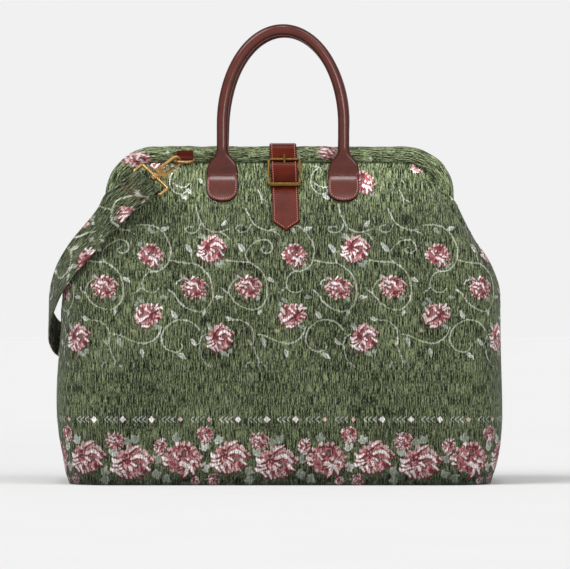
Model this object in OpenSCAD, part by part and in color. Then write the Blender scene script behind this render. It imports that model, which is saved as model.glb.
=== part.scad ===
// Carpet bag with a hinged mouth frame, rolled handles and a clipped shoulder strap.
// Millimetres, +Z up, the bag stands on Z = 0 and its front faces -Y.

/* [Body] */
// Height of the shut bag to the top of its rims
bag_h = 386; // [340:1:440]
// Greatest width of the body
belly_w = 512; // [470:1:560]
// Greatest depth of the body
belly_d = 224; // [190:1:250]
// Height of the greatest width above the floor
belly_z = 85; // [60:1:120]
// Width of the body at the floor
base_w = 480; // [440:1:510]
// Depth of the body at the floor
base_d = 210; // [170:1:222]
// Corner radius of the base outline
base_r = 52; // [30:1:80]
// Height where the walls start to lean in
shoulder_z = 192; // [150:1:230]
// Width of the body where the walls start to lean in
shoulder_w = 504; // [460:1:530]
// Depth of the body where the walls start to lean in
shoulder_d = 220; // [180:1:240]
// Half depth of the cloth just below the rim
lip_d = 25; // [20:0.5:32]
// Height of the rounded lip below the rim
lip_h = 13; // [8:0.5:18]
// Thickness of the cloth with its lining
cloth_t = 3; // [2:0.1:4]
// Thickness of the board in the base
board_t = 3; // [2:0.5:6]

/* [Mouth] */
// Width over the two rims
mouth_w = 402; // [340:1:440]
// Outer corner radius of the rims
mouth_r = 58; // [45:1:80]
// Diameter of the cloth roll
roll_d = 20; // [15:0.5:21]
// Diameter of the steel rod in the roll
rod_d = 8; // [5:0.5:9]
// Straight length of the rim below its corner
foot_len = 10; // [6:1:20]
// Drop from the rim's foot to the frame hinge
hinge_drop = 14; // [13:1:18]
// Diameter of the hinge eye
eye_d = 12; // [10:0.5:13]
// Thickness of the hinge eye
eye_t = 3; // [2:0.5:3.5]
// Diameter of the hinge rivet
rivet_d = 5; // [3:0.5:6]

/* [Handles] */
// Height of the handle above the rims
handle_rise = 139; // [110:1:170]
// Sideways place of the handles
handle_x = 3.5; // [-10:0.5:10]
// Outer width of the handle
handle_w = 152; // [130:1:170]
// Height of the arched part of the handle, on its centre line
arch_h = 108.5; // [85:0.5:115]
// Diameter of the rolled handle
handle_d = 13; // [10:0.5:16]
// Width of the flat handle ends
tab_w = 36; // [28:1:44]
// Length of the sewn tab below the crease
tab_len = 35; // [30:1:50]
// Thickness of the sewn tab
tab_t = 4; // [3:0.1:4.4]
// Thickness of the handle's flat end
flat_t = 5.2; // [4:0.1:6]
// Length of the handle's flat end above the crease
flat_len = 8; // [5:0.5:12]
// Length of the flare from flat end to roll
flare_len = 18; // [12:1:26]
// Height of the crease below the rounded lip
crease_drop = 3; // [2:0.5:8]

/* [Closure] */
// Sideways place of the closure strap
closure_x = 5; // [-20:1:20]
// Width of the closure strap
closure_w = 30.5; // [20:0.5:32]
// Thickness of the closure strap
closure_t = 2.6; // [2:0.1:2.8]
// Height of the strap's pointed end above the floor
closure_tip_z = 288; // [270:1:310]
// Length of the strap's point
closure_point = 11; // [6:0.5:16]
// Outer height of the buckle frame
buckle_h = 35; // [29:0.5:36]
// Width of the buckle's bars
buckle_bar = 3; // [2:0.1:3.6]
// Depth of the buckle's bars
buckle_deep = 4; // [3.4:0.1:4.4]
// Diameter of the buckle's centre bar
centre_bar_d = 2.8; // [2:0.1:3]
// Diameter of the prong
prong_d = 2.6; // [2:0.1:3]
// Width of the chape that holds the buckle
chape_w = 18; // [14:0.5:22]

/* [Strap hardware] */
// Distance of each ring from the middle of the bag
ring_x = 109; // [100:1:125]
// Width of the ring tab
ring_tab_w = 19; // [10:0.5:19]
// Thickness of the ring tab's leather
ring_tab_t = 2.4; // [1.6:0.1:3]
// Wire diameter of the ring
ring_wire = 3.2; // [2.4:0.1:3.4]
// Radius of the ring's bow, on its centre line
ring_r = 11.5; // [11.5:0.1:13]
// Length of the ring's straight sides
ring_side = 6; // [5:0.5:8]
// Angle of the ring below level
ring_pitch = 10; // [0:1:14]
// Wire diameter of the hook's bend
hook_wire = 4; // [3:0.1:4.2]
// Radius of the hook's bend, on its centre line
hook_r = 5.5; // [5.4:0.1:6.5]
// Distance from the hook's base to the centre of its bend
hook_len = 27; // [24:0.5:32]
// Thickness of the hook's base
hook_t = 6.6; // [6:0.1:8]
// Diameter of the gate pin
gate_pin_d = 2; // [1.4:0.1:2.2]
// Diameter of the swivel stem
stem_d = 4; // [3:0.1:4.4]
// Wire diameter of the swivel eye
eye_wire = 3.6; // [2.8:0.1:4]
// Width of the shoulder strap
strap_w = 40; // [34:0.5:44]
// Thickness of the shoulder strap
strap_t = 2.4; // [1.8:0.1:2.6]

/* [Hidden] */

// Gap between pieces that must not touch
gap = 0.3;
// Overlap used where one solid is built from several
eps = 0.01;

// Length over which the side walls ease from upright into their lean
lean_ease_w = 50;
// The same length for the front and back walls
lean_ease_d = 70;

// Rim and mouth
roll_r = roll_d / 2;
rim_x = mouth_w / 2 - roll_r;
rim_y = roll_r + gap;
rim_z = bag_h - roll_r;
rim_r = mouth_r - roll_r;
corner_x = rim_x - rim_r;
corner_z = rim_z - rim_r;
foot_z = corner_z - foot_len;
hinge_z = foot_z - hinge_drop;

// Edge of a panel: a seam below the rim, then a lap round the rim's foot
seam_in = roll_r + gap;
seam_y = rim_y + 4.5;
seam_top_z = rim_z - seam_in;
edge_r = rim_r - seam_in;
lap_rise = 14;
lap_angle = asin(lap_rise / edge_r);
lap_z = corner_z + lap_rise;
lap_dx = corner_x + edge_r * cos(lap_angle) - rim_x;
lap_dy = rim_y - seam_y;
lap_r = norm([lap_dx, lap_dy]);
lap_start = atan2(lap_dy, lap_dx);
foot_r = lap_r + 1.9;
foot_angle = asin(rim_y / foot_r);
side_seam_z = foot_z - 4;
side_seam_x = rim_x + foot_r * cos(foot_angle);

// Steps of the panel mesh: lap, corner and front of each half, then wall and lip rows
lap_n = 8;
corner_n = 6;
front_n = 5;
half_n = lap_n + corner_n + front_n;
wall_n = 12;
lip_n = 3;
lip_z = seam_top_z - lip_h;

// Handles
handle_r = handle_d / 2;
arch_a = handle_w / 2 - handle_r;
spring_z = bag_h + handle_rise - handle_r - arch_h;
slope = atan((shoulder_d / 2 - lip_d) / (lip_z - shoulder_z - lean_ease_d / 2));
crease_panel_z = lip_z - crease_drop;
crease_panel_y = half_depth(crease_panel_z);
crease_w = gap + tab_t + 0.7;
crease_y = crease_panel_y + crease_w * cos(slope);
crease_z = crease_panel_z + crease_w * sin(slope);

// Buckle plane: it leans from the rim to the panel
buckle_top = [rim_y + roll_r + 2.2, rim_z - 5];
buckle_foot_z = buckle_top[1] - buckle_h - 1;
buckle_foot = [half_depth(buckle_foot_z) + 0.6, buckle_foot_z];
buckle_mid = (buckle_top + buckle_foot) / 2;
buckle_tilt = atan2(buckle_foot[0] - buckle_top[0], buckle_top[1] - buckle_foot[1]);
buckle_w = closure_w + 2 + 2 * buckle_bar;
bar_v = (buckle_h - buckle_bar) / 2;
bar_w = closure_t + 2 * gap + 0.1;
centre_w = bar_w + buckle_deep / 2 - 0.3;
centre_r = centre_bar_d / 2;
chape_r = centre_r + 0.2 + 1.4;
over_w = centre_w + chape_r + gap + closure_t / 2;
prong_r = prong_d / 2;

// Ring seat on the rim
ring_rr = ring_wire / 2;
loop_r = ring_rr + gap + ring_tab_t;
// Angle round the roll where the ring hangs
ring_seat = 205;
ring_reach = roll_r + gap + loop_r + 0.4;
ring_y = rim_y - ring_reach * cos(ring_seat);
ring_z = rim_z + ring_reach * sin(ring_seat);

// Place on each ring's bow where its hook bears, as an angle round the bow
front_bearing = 150;
back_bearing = 90;

// Hook: axis towards the ring, then the points that hang on it
hook_rr = hook_wire / 2;
hook_off = 1;
// Clearance between a hook's bend and its ring, which lets the ring turn a little
bend_gap = 0.9;
catch_len = hook_len + hook_r - hook_rr - ring_rr - bend_gap;
eye_bar_drop = 16;
stem_len = 6.5;
eye_half = strap_w / 2 + 2 * gap + eye_wire / 2;
eye_corner = eye_wire / 2 + gap;
gate_x = hook_off + hook_r - 1.3;
gate_z = 6;
gate_top = hook_len - 5;
front_axis = unit([0.744, 0.324, 0.583]);
back_axis = unit([-0.05, -0.55, 0.83]);
front_catch = ring_point(-1, front_bearing);
back_catch = ring_point(1, back_bearing);
front_wire = ring_tangent(-1, front_bearing);
back_wire = ring_tangent(1, back_bearing);
front_hook_at = hook_origin(front_catch, front_axis, front_wire);
back_hook_at = hook_origin(back_catch, back_axis, back_wire);
front_face = [0, -cos(slope), sin(slope)];
back_face = [0, cos(slope), sin(slope)];

// Shoulder strap: where it runs free, as shares of the body's half width and half depth at a height,
// and the way its outer face looks there
strap_places = [
    [-0.938, -1.214, 302], [-0.999, -0.972, 268], [-1.028, -0.702, 238], [-1.04, -0.389, 212],
    [-1.052, -0.045, 191], [-1.046, 0.327, 174], [-1.013, 0.671, 162], [-0.928, 0.959, 153],
    [-0.75, 1.084, 150], [-0.533, 1.103, 154], [-0.317, 1.097, 164], [-0.099, 1.09, 180],
    [0.099, 1.067, 201], [0.278, 1.077, 230], [0.425, 1.165, 264]
];
strap_route = [for (p = strap_places) [p[0] * half_width(p[2]), p[1] * half_depth(p[2]), p[2]]];
strap_faces = [
    [-0.4, -0.8, 0.4], [-0.6, -0.7, 0.3], [-0.8, -0.5, 0.2], [-0.95, -0.3, 0.1], [-1, 0, 0],
    [-0.95, 0.3, 0], [-0.85, 0.5, 0], [-0.5, 0.85, 0], [-0.1, 1, 0], [0, 1, 0],
    [0, 1, 0], [0, 1, 0.05], [0, 1, 0.2], [0, 0.9, 0.4], [0, 0.85, 0.5]
];
strap_steps = 3;
fold_len = 42;
fold_r = eye_wire / 2 + gap + strap_t / 2;

function unit(v) = v / norm(v);
function mix(a, b, f) = a + (b - a) * f;

// Drop of a wall that eases into a straight lean
function lean(s, len, ease, drop) =
    let (k = drop / (len - ease / 2))
    s < ease ? k * s * s / (2 * ease) : k * (s - ease / 2);

// Wall of the belly: from the floor out to the belly and gently back to the shoulder
function belly(z, base, wide, shoulder) =
    z < belly_z
        ? wide - (wide - base) * pow((belly_z - z) / belly_z, 2.2)
        : mix(wide, shoulder, (1 - cos(180 * (z - belly_z) / (shoulder_z - belly_z))) / 2);

// Half width of the body at its side seam
function half_width(z) =
    z < shoulder_z
        ? belly(z, base_w / 2, belly_w / 2, shoulder_w / 2)
        : shoulder_w / 2 - lean(z - shoulder_z, side_seam_z - shoulder_z, lean_ease_w,
            shoulder_w / 2 - side_seam_x);

// Half depth of the body at its middle
function half_depth(z) =
    z < shoulder_z ? belly(z, base_d / 2, belly_d / 2, shoulder_d / 2)
    : z < lip_z ? shoulder_d / 2 - lean(z - shoulder_z, lip_z - shoulder_z, lean_ease_d,
        shoulder_d / 2 - lip_d)
    : seam_y + (lip_d - seam_y) * sqrt(max(0, 1 - pow((z - lip_z) / lip_h, 2)));

// Lower edge of a panel, right half: side, corner, front
function base_point(k) =
    k <= lap_n ? [base_w / 2, -(base_d / 2 - base_r) * k / lap_n]
    : k <= lap_n + corner_n
        ? let (a = 90 * (k - lap_n) / corner_n)
            [base_w / 2 - base_r + base_r * cos(a), -(base_d / 2 - base_r) - base_r * sin(a)]
    : [(base_w / 2 - base_r) * (half_n - k) / front_n, -base_d / 2];

function lap_turn(k) = mix(foot_angle, lap_start, k / lap_n);
function lap_radius(k) = lap_r + (foot_r - lap_r) * pow(1 - k / lap_n, 4);

// Upper edge of a panel, right half: round the rim's foot, then along the seam below the rim
function edge_point(k) =
    k <= lap_n
        ? [rim_x + lap_radius(k) * cos(lap_turn(k)), -rim_y + lap_radius(k) * sin(lap_turn(k)),
            mix(side_seam_z, lap_z, k / lap_n)]
    : k <= lap_n + corner_n
        ? let (a = mix(lap_angle, 90, (k - lap_n) / corner_n))
            [corner_x + edge_r * cos(a), -seam_y, corner_z + edge_r * sin(a)]
    : [corner_x * (half_n - k) / front_n, -seam_y, seam_top_z];

// The same edge on the inside of the cloth
function edge_inside(k) =
    k <= lap_n && lap_turn(k) > -90
        ? edge_point(k) - cloth_t * [cos(lap_turn(k)), sin(lap_turn(k)), 0]
        : edge_point(k) + [0, cloth_t, 0];

// A wall point goes straight up to the shoulder, then leans over to the upper edge
function rise(from, to, at, start, shoulder, end) =
    let (s = from * shoulder / start)
    at[0] < shoulder_z ? from * at[1] / start : mix(s, to, (shoulder - at[1]) / (shoulder - end));

function wall_point(k, t) =
    let (b = base_point(k), e = edge_point(k), zw = t * side_seam_z, zd = t * seam_top_z)
    [
        rise(b[0], e[0], [zw, half_width(zw)], base_w / 2, shoulder_w / 2, side_seam_x),
        rise(b[1], e[1], [zd, half_depth(zd)], base_d / 2, shoulder_d / 2, seam_y),
        t * e[2]
    ];

// Columns run from the left side seam round the front to the right side seam
function column(i, t) =
    let (p = wall_point(i <= half_n ? i : 2 * half_n - i, t))
    i <= half_n ? [-p[0], p[1], p[2]] : p;
function column_inside(i) =
    let (p = edge_inside(i <= half_n ? i : 2 * half_n - i))
    i <= half_n ? [-p[0], p[1], p[2]] : p;

function row(j) =
    let (t = lip_z / seam_top_z)
    j <= wall_n ? t * pow(j / wall_n, 1.25) : t + (1 - t) * sin(90 * (j - wall_n) / lip_n);

function outward(i, t) =
    let (
        du = i == 0 || i == 2 * half_n ? [0, i == 0 ? -1 : 1, 0] : column(i + 1, t) - column(i - 1, t),
        dt = column(i, min(1, t + 0.002)) - column(i, max(0, t - 0.002)),
        n = cross(du, dt)
    )
    i == 0 || i == 2 * half_n ? unit([n[0], 0, n[2]]) : unit(n);

function inner_point(i, j) =
    let (t = row(j), n = outward(i, t))
    j == 0 ? column(i, 0) - cloth_t * unit([n[0], n[1], 0])
    : j == wall_n + lip_n ? column_inside(i)
    : column(i, t) - cloth_t * n;

// A closed sheet from two grids of points, the second one behind the first
module sheet(front, back, cols, rows) {
    m = len(front);
    function at(i, j) = i * (rows + 1) + j;
    function pair(a, b, c, d) = [[a, b, c], [a, c, d]];
    grid = [for (i = [0:cols - 1], j = [0:rows - 1]) each concat(
        pair(at(i, j), at(i, j + 1), at(i + 1, j + 1), at(i + 1, j)),
        pair(m + at(i, j), m + at(i + 1, j), m + at(i + 1, j + 1), m + at(i, j + 1)))];
    ends = [for (i = [0:cols - 1]) each concat(
        pair(at(i, 0), at(i + 1, 0), m + at(i + 1, 0), m + at(i, 0)),
        pair(at(i + 1, rows), at(i, rows), m + at(i, rows), m + at(i + 1, rows)))];
    sides = [for (j = [0:rows - 1]) each concat(
        pair(at(0, j + 1), at(0, j), m + at(0, j), m + at(0, j + 1)),
        pair(at(cols, j), at(cols, j + 1), m + at(cols, j + 1), m + at(cols, j)))];
    polyhedron(concat(front, back), concat(grid, ends, sides), convexity = 6);
}

module panel() {
    rows = wall_n + lip_n;
    outer = [for (i = [0:2 * half_n], j = [0:rows]) column(i, row(j))];
    inner = [for (i = [0:2 * half_n], j = [0:rows]) inner_point(i, j)];
    sheet(outer, inner, 2 * half_n, rows);
}

module front_panel() {
    color("darkolivegreen") panel();
}

module back_panel() {
    color("darkolivegreen") mirror([0, 1, 0]) panel();
}

// Flat slab with the outline of the base, set in from it
module base_slab(inset, thick) {
    w = base_w - 2 * inset;
    d = base_d - 2 * inset;
    r = base_r - inset;
    linear_extrude(thick) union() {
        square([w - 2 * r, d], center = true);
        square([w, d - 2 * r], center = true);
        for (x = [-1, 1], y = [-1, 1])
            translate([x * (w / 2 - r), y * (d / 2 - r)])
                circle(r, $fn = 48);
    }
}

module base_panel() {
    color("olivedrab") base_slab(cloth_t + 2 * gap, cloth_t);
}

module base_board() {
    color("tan") translate([0, 0, cloth_t]) base_slab(cloth_t + 4 * gap, board_t);
}

// Part of a ring in the XZ plane, from angle a0 to a1, with a round section
module bow(r, wire_r, a0, a1) {
    rotate([90, 0, 0]) rotate([0, 0, a0]) rotate_extrude(angle = a1 - a0, $fn = 64)
        translate([r, 0]) circle(wire_r, $fn = 32);
}

module rod_x(r, len) {
    rotate([0, 90, 0]) cylinder(r = r, h = len, center = true, $fn = 32);
}

module rod_y(r, len) {
    rotate([90, 0, 0]) cylinder(r = r, h = len, center = true, $fn = 32);
}

// The rim's centre line as a round bar, from its feet up and over
module mouth_bar(r, down) {
    translate([0, 0, rim_z]) rod_x(r, 2 * corner_x);
    for (s = [-1, 1]) {
        translate([s * corner_x, 0, corner_z]) bow(rim_r, r, s > 0 ? 0 : 90, s > 0 ? 90 : 180);
        translate([s * rim_x, 0, corner_z - down]) cylinder(r = r, h = down, $fn = 32);
    }
}

module rim() {
    translate([0, -rim_y, 0]) difference() {
        mouth_bar(roll_r, foot_len);
        mouth_bar(rod_d / 2 + gap, foot_len + 1);
    }
}

module front_rim() {
    color("olivedrab") rim();
}

module back_rim() {
    color("olivedrab") mirror([0, 1, 0]) rim();
}

// Steel rod with a flat eye at each foot, bored for the hinge rivet
module frame_half() {
    bridge_z = foot_z - gap - rod_d / 2;
    difference() {
        union() {
            translate([0, -rim_y, 0]) mouth_bar(rod_d / 2, corner_z - bridge_z);
            for (s = [-1, 1]) {
                translate([s * rim_x, -rim_y / 2 - gap / 2, bridge_z]) rod_y(rod_d / 2, rim_y - gap);
                translate([s * rim_x, -gap - eye_t / 2, hinge_z]) rod_y(eye_d / 2, eye_t);
                translate([s * rim_x - rod_d / 2, -gap - eye_t, hinge_z])
                    cube([rod_d, eye_t, bridge_z - hinge_z]);
            }
        }
        for (s = [-1, 1])
            translate([s * rim_x, -gap - eye_t / 2, hinge_z]) rod_y(rivet_d / 2 + 0.1, eye_t + 1);
    }
}

module front_frame() {
    color("lightsteelblue") frame_half();
}

module back_frame() {
    color("lightsteelblue") mirror([0, 1, 0]) frame_half();
}

module hinge_rivet(side) {
    head = 1.5;
    translate([side * rim_x, 0, hinge_z]) {
        rod_y(rivet_d / 2, 2 * (gap + eye_t + head));
        for (s = [-1, 1])
            translate([0, s * (gap + eye_t + head / 2), 0]) rod_y(rivet_d / 2 + 2, head);
    }
}

module left_hinge_rivet() {
    color("silver") hinge_rivet(-1);
}

module right_hinge_rivet() {
    color("silver") hinge_rivet(1);
}

// A closed tube from rings of points, with flat ends
module tube(rings) {
    m = len(rings[0]);
    n = len(rings) - 1;
    walls = [for (r = [0:n - 1], i = [0:m - 1])
        let (a = r * m + i, b = r * m + (i + 1) % m)
        each [[a, a + m, b + m], [a, b + m, b]]];
    caps = [[for (i = [0:m - 1]) i], [for (i = [m - 1:-1:0]) n * m + i]];
    polyhedron([for (r = rings) each r], concat(walls, caps), convexity = 8);
}

// One leg of the handle from its rounded end at the crease up to the roll:
// height above the crease, half width, half thickness, and how square the section is
leg_rings = concat(
    [for (a = [80, 45, 0]) [-flat_t / 2 * sin(a), tab_w / 2, flat_t / 2 * cos(a), 8]],
    [[flat_len, tab_w / 2, flat_t / 2, 8]],
    [for (f = [0.25:0.25:1])
        let (e = f * f * (3 - 2 * f))
        [flat_len + flare_len * f, mix(tab_w / 2, handle_r, e), mix(flat_t / 2, handle_r, f), mix(8, 2, e)]]
);
arch_n = 24;

function power(c, n) = sign(c) * pow(abs(c), 2 / n);

// A section of the handle at x, z, square to the direction tx, tz
function section(x, z, tx, tz, half, thick, n) = [
    for (a = [0:22.5:359])
        [x + half * power(cos(a), n) * tz, thick * power(sin(a), n), z - half * power(cos(a), n) * tx]
];

// Rolled handle: flat ends at the crease, flares, straight legs and an oval arch
module handle() {
    up = [for (r = leg_rings) section(-arch_a, crease_z + r[0], 0, 1, r[1], r[2], r[3])];
    over = [for (i = [0:arch_n])
        let (a = 180 * i / arch_n, t = unit([arch_a * sin(a), arch_h * cos(a)]))
        section(-arch_a * cos(a), spring_z + arch_h * sin(a), t[0], t[1], handle_r, handle_r, 2)];
    down = [for (i = [len(leg_rings) - 1:-1:0])
        let (r = leg_rings[i])
        section(arch_a, crease_z + r[0], 0, -1, r[1], r[2], r[3])];
    translate([handle_x, -crease_y, 0]) tube(concat(up, over, down));
}

// Sewn tab below the crease: it lies on the panel and is hollowed for the handle's flat end
module handle_tab(side) {
    tab_x = handle_x + side * arch_a;
    translate([tab_x, -crease_panel_y, crease_panel_z]) rotate([-slope, 0, 0]) difference() {
        translate([0, -gap, 0]) rotate([90, 0, 0]) linear_extrude(tab_t) {
            translate([-tab_w / 2, -tab_len + tab_w / 2]) square([tab_w, tab_len - tab_w / 2]);
            translate([0, -tab_len + tab_w / 2]) circle(tab_w / 2, $fn = 48);
        }
        translate([0, -crease_w, 0]) rod_x(flat_t / 2 + gap, tab_w + 2);
    }
}

module front_handle() {
    color("saddlebrown") handle();
}

module front_handle_tab_left() {
    color("sienna") handle_tab(-1);
}

module front_handle_tab_right() {
    color("sienna") handle_tab(1);
}

module back_handle() {
    color("saddlebrown") mirror([0, 1, 0]) handle();
}

module back_handle_tab_left() {
    color("sienna") mirror([0, 1, 0]) handle_tab(-1);
}

module back_handle_tab_right() {
    color("sienna") mirror([0, 1, 0]) handle_tab(1);
}

// Smooth curve through points, with n steps between each pair
function smooth(p, n) = [
    for (i = [0:len(p) - 2], s = [0:n - 1])
        let (
            a = p[max(0, i - 1)], b = p[i], c = p[i + 1], d = p[min(len(p) - 1, i + 2)],
            t = s / n
        )
        b + t * ((c - a) / 2 + t * ((2 * a - 5 * b + 4 * c - d) / 2 + t * (3 * b - a - 3 * c + d) / 2)),
    p[len(p) - 1]
];

// Outline of a strip of even thickness along a curve in a plane
function strip(p, t) =
    let (
        n = len(p) - 1,
        dir = [for (i = [0:n]) unit(p[min(n, i + 1)] - p[max(0, i - 1)])],
        one = [for (i = [0:n]) p[i] + t / 2 * [-dir[i][1], dir[i][0]]],
        two = [for (i = [n:-1:0]) p[i] - t / 2 * [-dir[i][1], dir[i][0]]]
    )
    concat(one, two);

// A point of the buckle plane: v up along it, w out from it
function on_buckle(v, w) = [
    -buckle_mid[0] + v * sin(buckle_tilt) - w * cos(buckle_tilt),
    buckle_mid[1] + v * cos(buckle_tilt) + w * sin(buckle_tilt)
];

module at_buckle() {
    translate([closure_x, -buckle_mid[0], buckle_mid[1]]) rotate([-buckle_tilt, 0, 0]) children();
}

// Extrude a shape drawn in Y and Z along X
module across(width) {
    rotate([90, 0, 90]) linear_extrude(width, center = true) children();
}

// Distance of the closure strap from the middle plane where it lies on a panel
function on_wall(z) = half_depth(z) + (2 * gap + closure_t / 2) / cos(slope);

// Closure strap: from the back panel over both rims, through the buckle to its point
module closure_strap() {
    over = roll_r + gap + closure_t / 2;
    under = gap + closure_t / 2;
    back_z = crease_panel_z - tab_len;
    route = smooth([
        [on_wall(back_z), back_z], [on_wall(lip_z - 8), lip_z - 8], [on_wall(lip_z) + 1, lip_z + 5],
        [rim_y + over + 0.4, rim_z], [rim_y + over * 0.72, rim_z + over * 0.72], [rim_y, rim_z + over],
        [0, rim_z + over], [-rim_y, rim_z + over],
        [-rim_y - over * 0.72, rim_z + over * 0.72], [-rim_y - over - 0.6, rim_z],
        on_buckle(bar_v, under), on_buckle(bar_v - 5.5, under + 1.6), on_buckle(4.5, over_w - 1.2),
        on_buckle(0, over_w), on_buckle(-4.5, over_w - 1.2),
        on_buckle(-bar_v + 5.5, under + 1.6), on_buckle(-bar_v, under),
        [-on_wall(buckle_foot_z - 3) - 0.3, buckle_foot_z - 3],
        [-on_wall(buckle_foot_z - 13) - 0.3, buckle_foot_z - 13],
        [-on_wall(buckle_foot_z - 30) - 0.3, buckle_foot_z - 30],
        [-on_wall(closure_tip_z) - 0.3, closure_tip_z]
    ], 5);
    color("brown") difference() {
        intersection() {
            translate([closure_x, 0, 0]) across(closure_w) polygon(strip(route, closure_t));
            translate([closure_x, belly_d, 0]) rotate([90, 0, 0]) linear_extrude(2 * belly_d)
                polygon([
                    [-closure_w, 2 * bag_h], [-closure_w, closure_tip_z + closure_point],
                    [-closure_w / 2, closure_tip_z + closure_point], [0, closure_tip_z],
                    [closure_w / 2, closure_tip_z + closure_point],
                    [closure_w, closure_tip_z + closure_point], [closure_w, 2 * bag_h]
                ]);
        }
        at_buckle() translate([-prong_r - 1, -over_w - closure_t, 2])
            cube([prong_d + 2, 2 * over_w, 9.5]);
    }
}

// Leather loop that carries the buckle's centre bar, slit for the prong
module closure_chape() {
    back = 2;
    color("maroon") at_buckle() difference() {
        union() {
            translate([0, -centre_w, 0]) rod_x(chape_r, chape_w);
            translate([-chape_w / 2, -centre_w, -chape_r + 0.6])
                cube([chape_w, centre_w + back, 2 * chape_r - 1.2]);
        }
        translate([0, -centre_w, 0]) rod_x(centre_r + 0.2, chape_w + 1);
        translate([-prong_r - 1.2, -centre_w - chape_r - 1, -chape_r - 1])
            cube([prong_d + 2.4, 2 * chape_r + 1.6, 2 * chape_r + 2]);
    }
}

module rounded(w, h, r) {
    square([w - 2 * r, h], center = true);
    square([w, h - 2 * r], center = true);
    for (x = [-1, 1], y = [-1, 1])
        translate([x * (w / 2 - r), y * (h / 2 - r)])
            circle(r, $fn = 24);
}

module buckle_frame() {
    color("goldenrod") at_buckle() {
        translate([0, -bar_w, 0]) rotate([90, 0, 0]) linear_extrude(buckle_deep) difference() {
            rounded(buckle_w, buckle_h, 4);
            rounded(buckle_w - 2 * buckle_bar, buckle_h - 2 * buckle_bar, 2);
        }
        translate([0, -centre_w, 0]) rod_x(centre_r, buckle_w - buckle_bar);
    }
}

// Prong: a knuckle on the centre bar and a shank that rests on the top bar
module buckle_prong() {
    start = [2, centre_w + 1.6];
    rest = [bar_v, bar_w + buckle_deep + gap + prong_r];
    lift = atan2(rest[1] - start[1], rest[0] - start[0]);
    len = norm(rest - start) + 3.5;
    color("gold") at_buckle() {
        difference() {
            translate([0, -centre_w, 0]) rod_x(chape_r - 0.1, prong_d + 1.2);
            translate([0, -centre_w, 0]) rod_x(centre_r + 0.2, prong_d + 2);
        }
        translate([0, -start[1], start[0]]) rotate([lift, 0, 0]) {
            cylinder(r = prong_r, h = len, $fn = 24);
            translate([0, 0, len]) sphere(prong_r, $fn = 24);
        }
    }
}

// Leather tab that lies on the rim and loops round the ring's straight bar: its outline runs along
// the roll, out round the loop and back
module ring_tab() {
    inner = roll_r + gap;
    outer = inner + ring_tab_t;
    from = 160;
    to = 212;
    c = ring_reach * [cos(ring_seat), sin(ring_seat)];
    leave = acos((ring_reach * ring_reach + outer * outer - loop_r * loop_r) / (2 * ring_reach * outer));
    first = outer * [cos(ring_seat - leave), sin(ring_seat - leave)] - c;
    off = ring_reach * cos(to - ring_seat);
    meet = off - sqrt(off * off - ring_reach * ring_reach + loop_r * loop_r);
    last = meet * [cos(to), sin(to)] - c;
    a0 = atan2(first[1], first[0]);
    a1 = atan2(last[1], last[0]);
    sweep = a1 > a0 ? a1 - a0 : a1 - a0 + 360;
    outline = concat(
        [for (i = [0:8]) let (a = mix(to, from, i / 8)) inner * [cos(a), sin(a)]],
        [for (i = [0:5]) let (a = mix(from, ring_seat - leave, i / 5)) outer * [cos(a), sin(a)]],
        [for (i = [1:16]) let (a = a0 + sweep * i / 16) c + loop_r * [cos(a), sin(a)]]
    );
    translate([0, -rim_y, rim_z]) across(ring_tab_w) difference() {
        polygon(outline);
        translate(c) circle(ring_rr + gap / 2, $fn = 32);
    }
}

// D-ring: straight bar in the tab, short sides and a bow
module d_ring() {
    translate([0, -ring_y, ring_z]) rotate([90 + ring_pitch, 0, 0]) {
        rod_x(ring_rr, 2 * ring_r);
        for (s = [-1, 1])
            translate([s * ring_r, 0, 0]) {
                sphere(ring_rr, $fn = 32);
                cylinder(r = ring_rr, h = ring_side, $fn = 32);
            }
        translate([0, 0, ring_side]) bow(ring_r, ring_rr, 0, 180);
    }
}

module front_ring_tab() {
    color("peru") translate([-ring_x, 0, 0]) ring_tab();
}

module front_ring() {
    color("gold") translate([-ring_x, 0, 0]) d_ring();
}

module back_ring_tab() {
    color("peru") translate([ring_x, 0, 0]) mirror([0, 1, 0]) ring_tab();
}

module back_ring() {
    color("gold") translate([ring_x, 0, 0]) mirror([0, 1, 0]) d_ring();
}

// A point of a ring's bow and the direction of its wire there; face is -1 for front, 1 for back
function ring_point(face, a) =
    let (v = ring_side + ring_r * sin(a))
    [face * ring_x + ring_r * cos(a), face * (ring_y + v * cos(ring_pitch)), ring_z - v * sin(ring_pitch)];
function ring_tangent(face, a) = [
    sin(a), -face * cos(a) * cos(ring_pitch), cos(a) * sin(ring_pitch)
];

// Axes of a piece on the strap: along a, with its face towards m
function face_normal(a, m) = -unit(m - (m * a) * a);
function side_axis(a, m) = cross(face_normal(a, m), a);
function hook_origin(bearing, a, m) = bearing - catch_len * a - hook_off * side_axis(a, m);

module along(p, a, m) {
    n = face_normal(a, m);
    g = side_axis(a, m);
    multmatrix([
        [g[0], n[0], a[0], p[0]],
        [g[1], n[1], a[1], p[1]],
        [g[2], n[2], a[2], p[2]],
        [0, 0, 0, 1]
    ])
        children();
}

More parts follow.
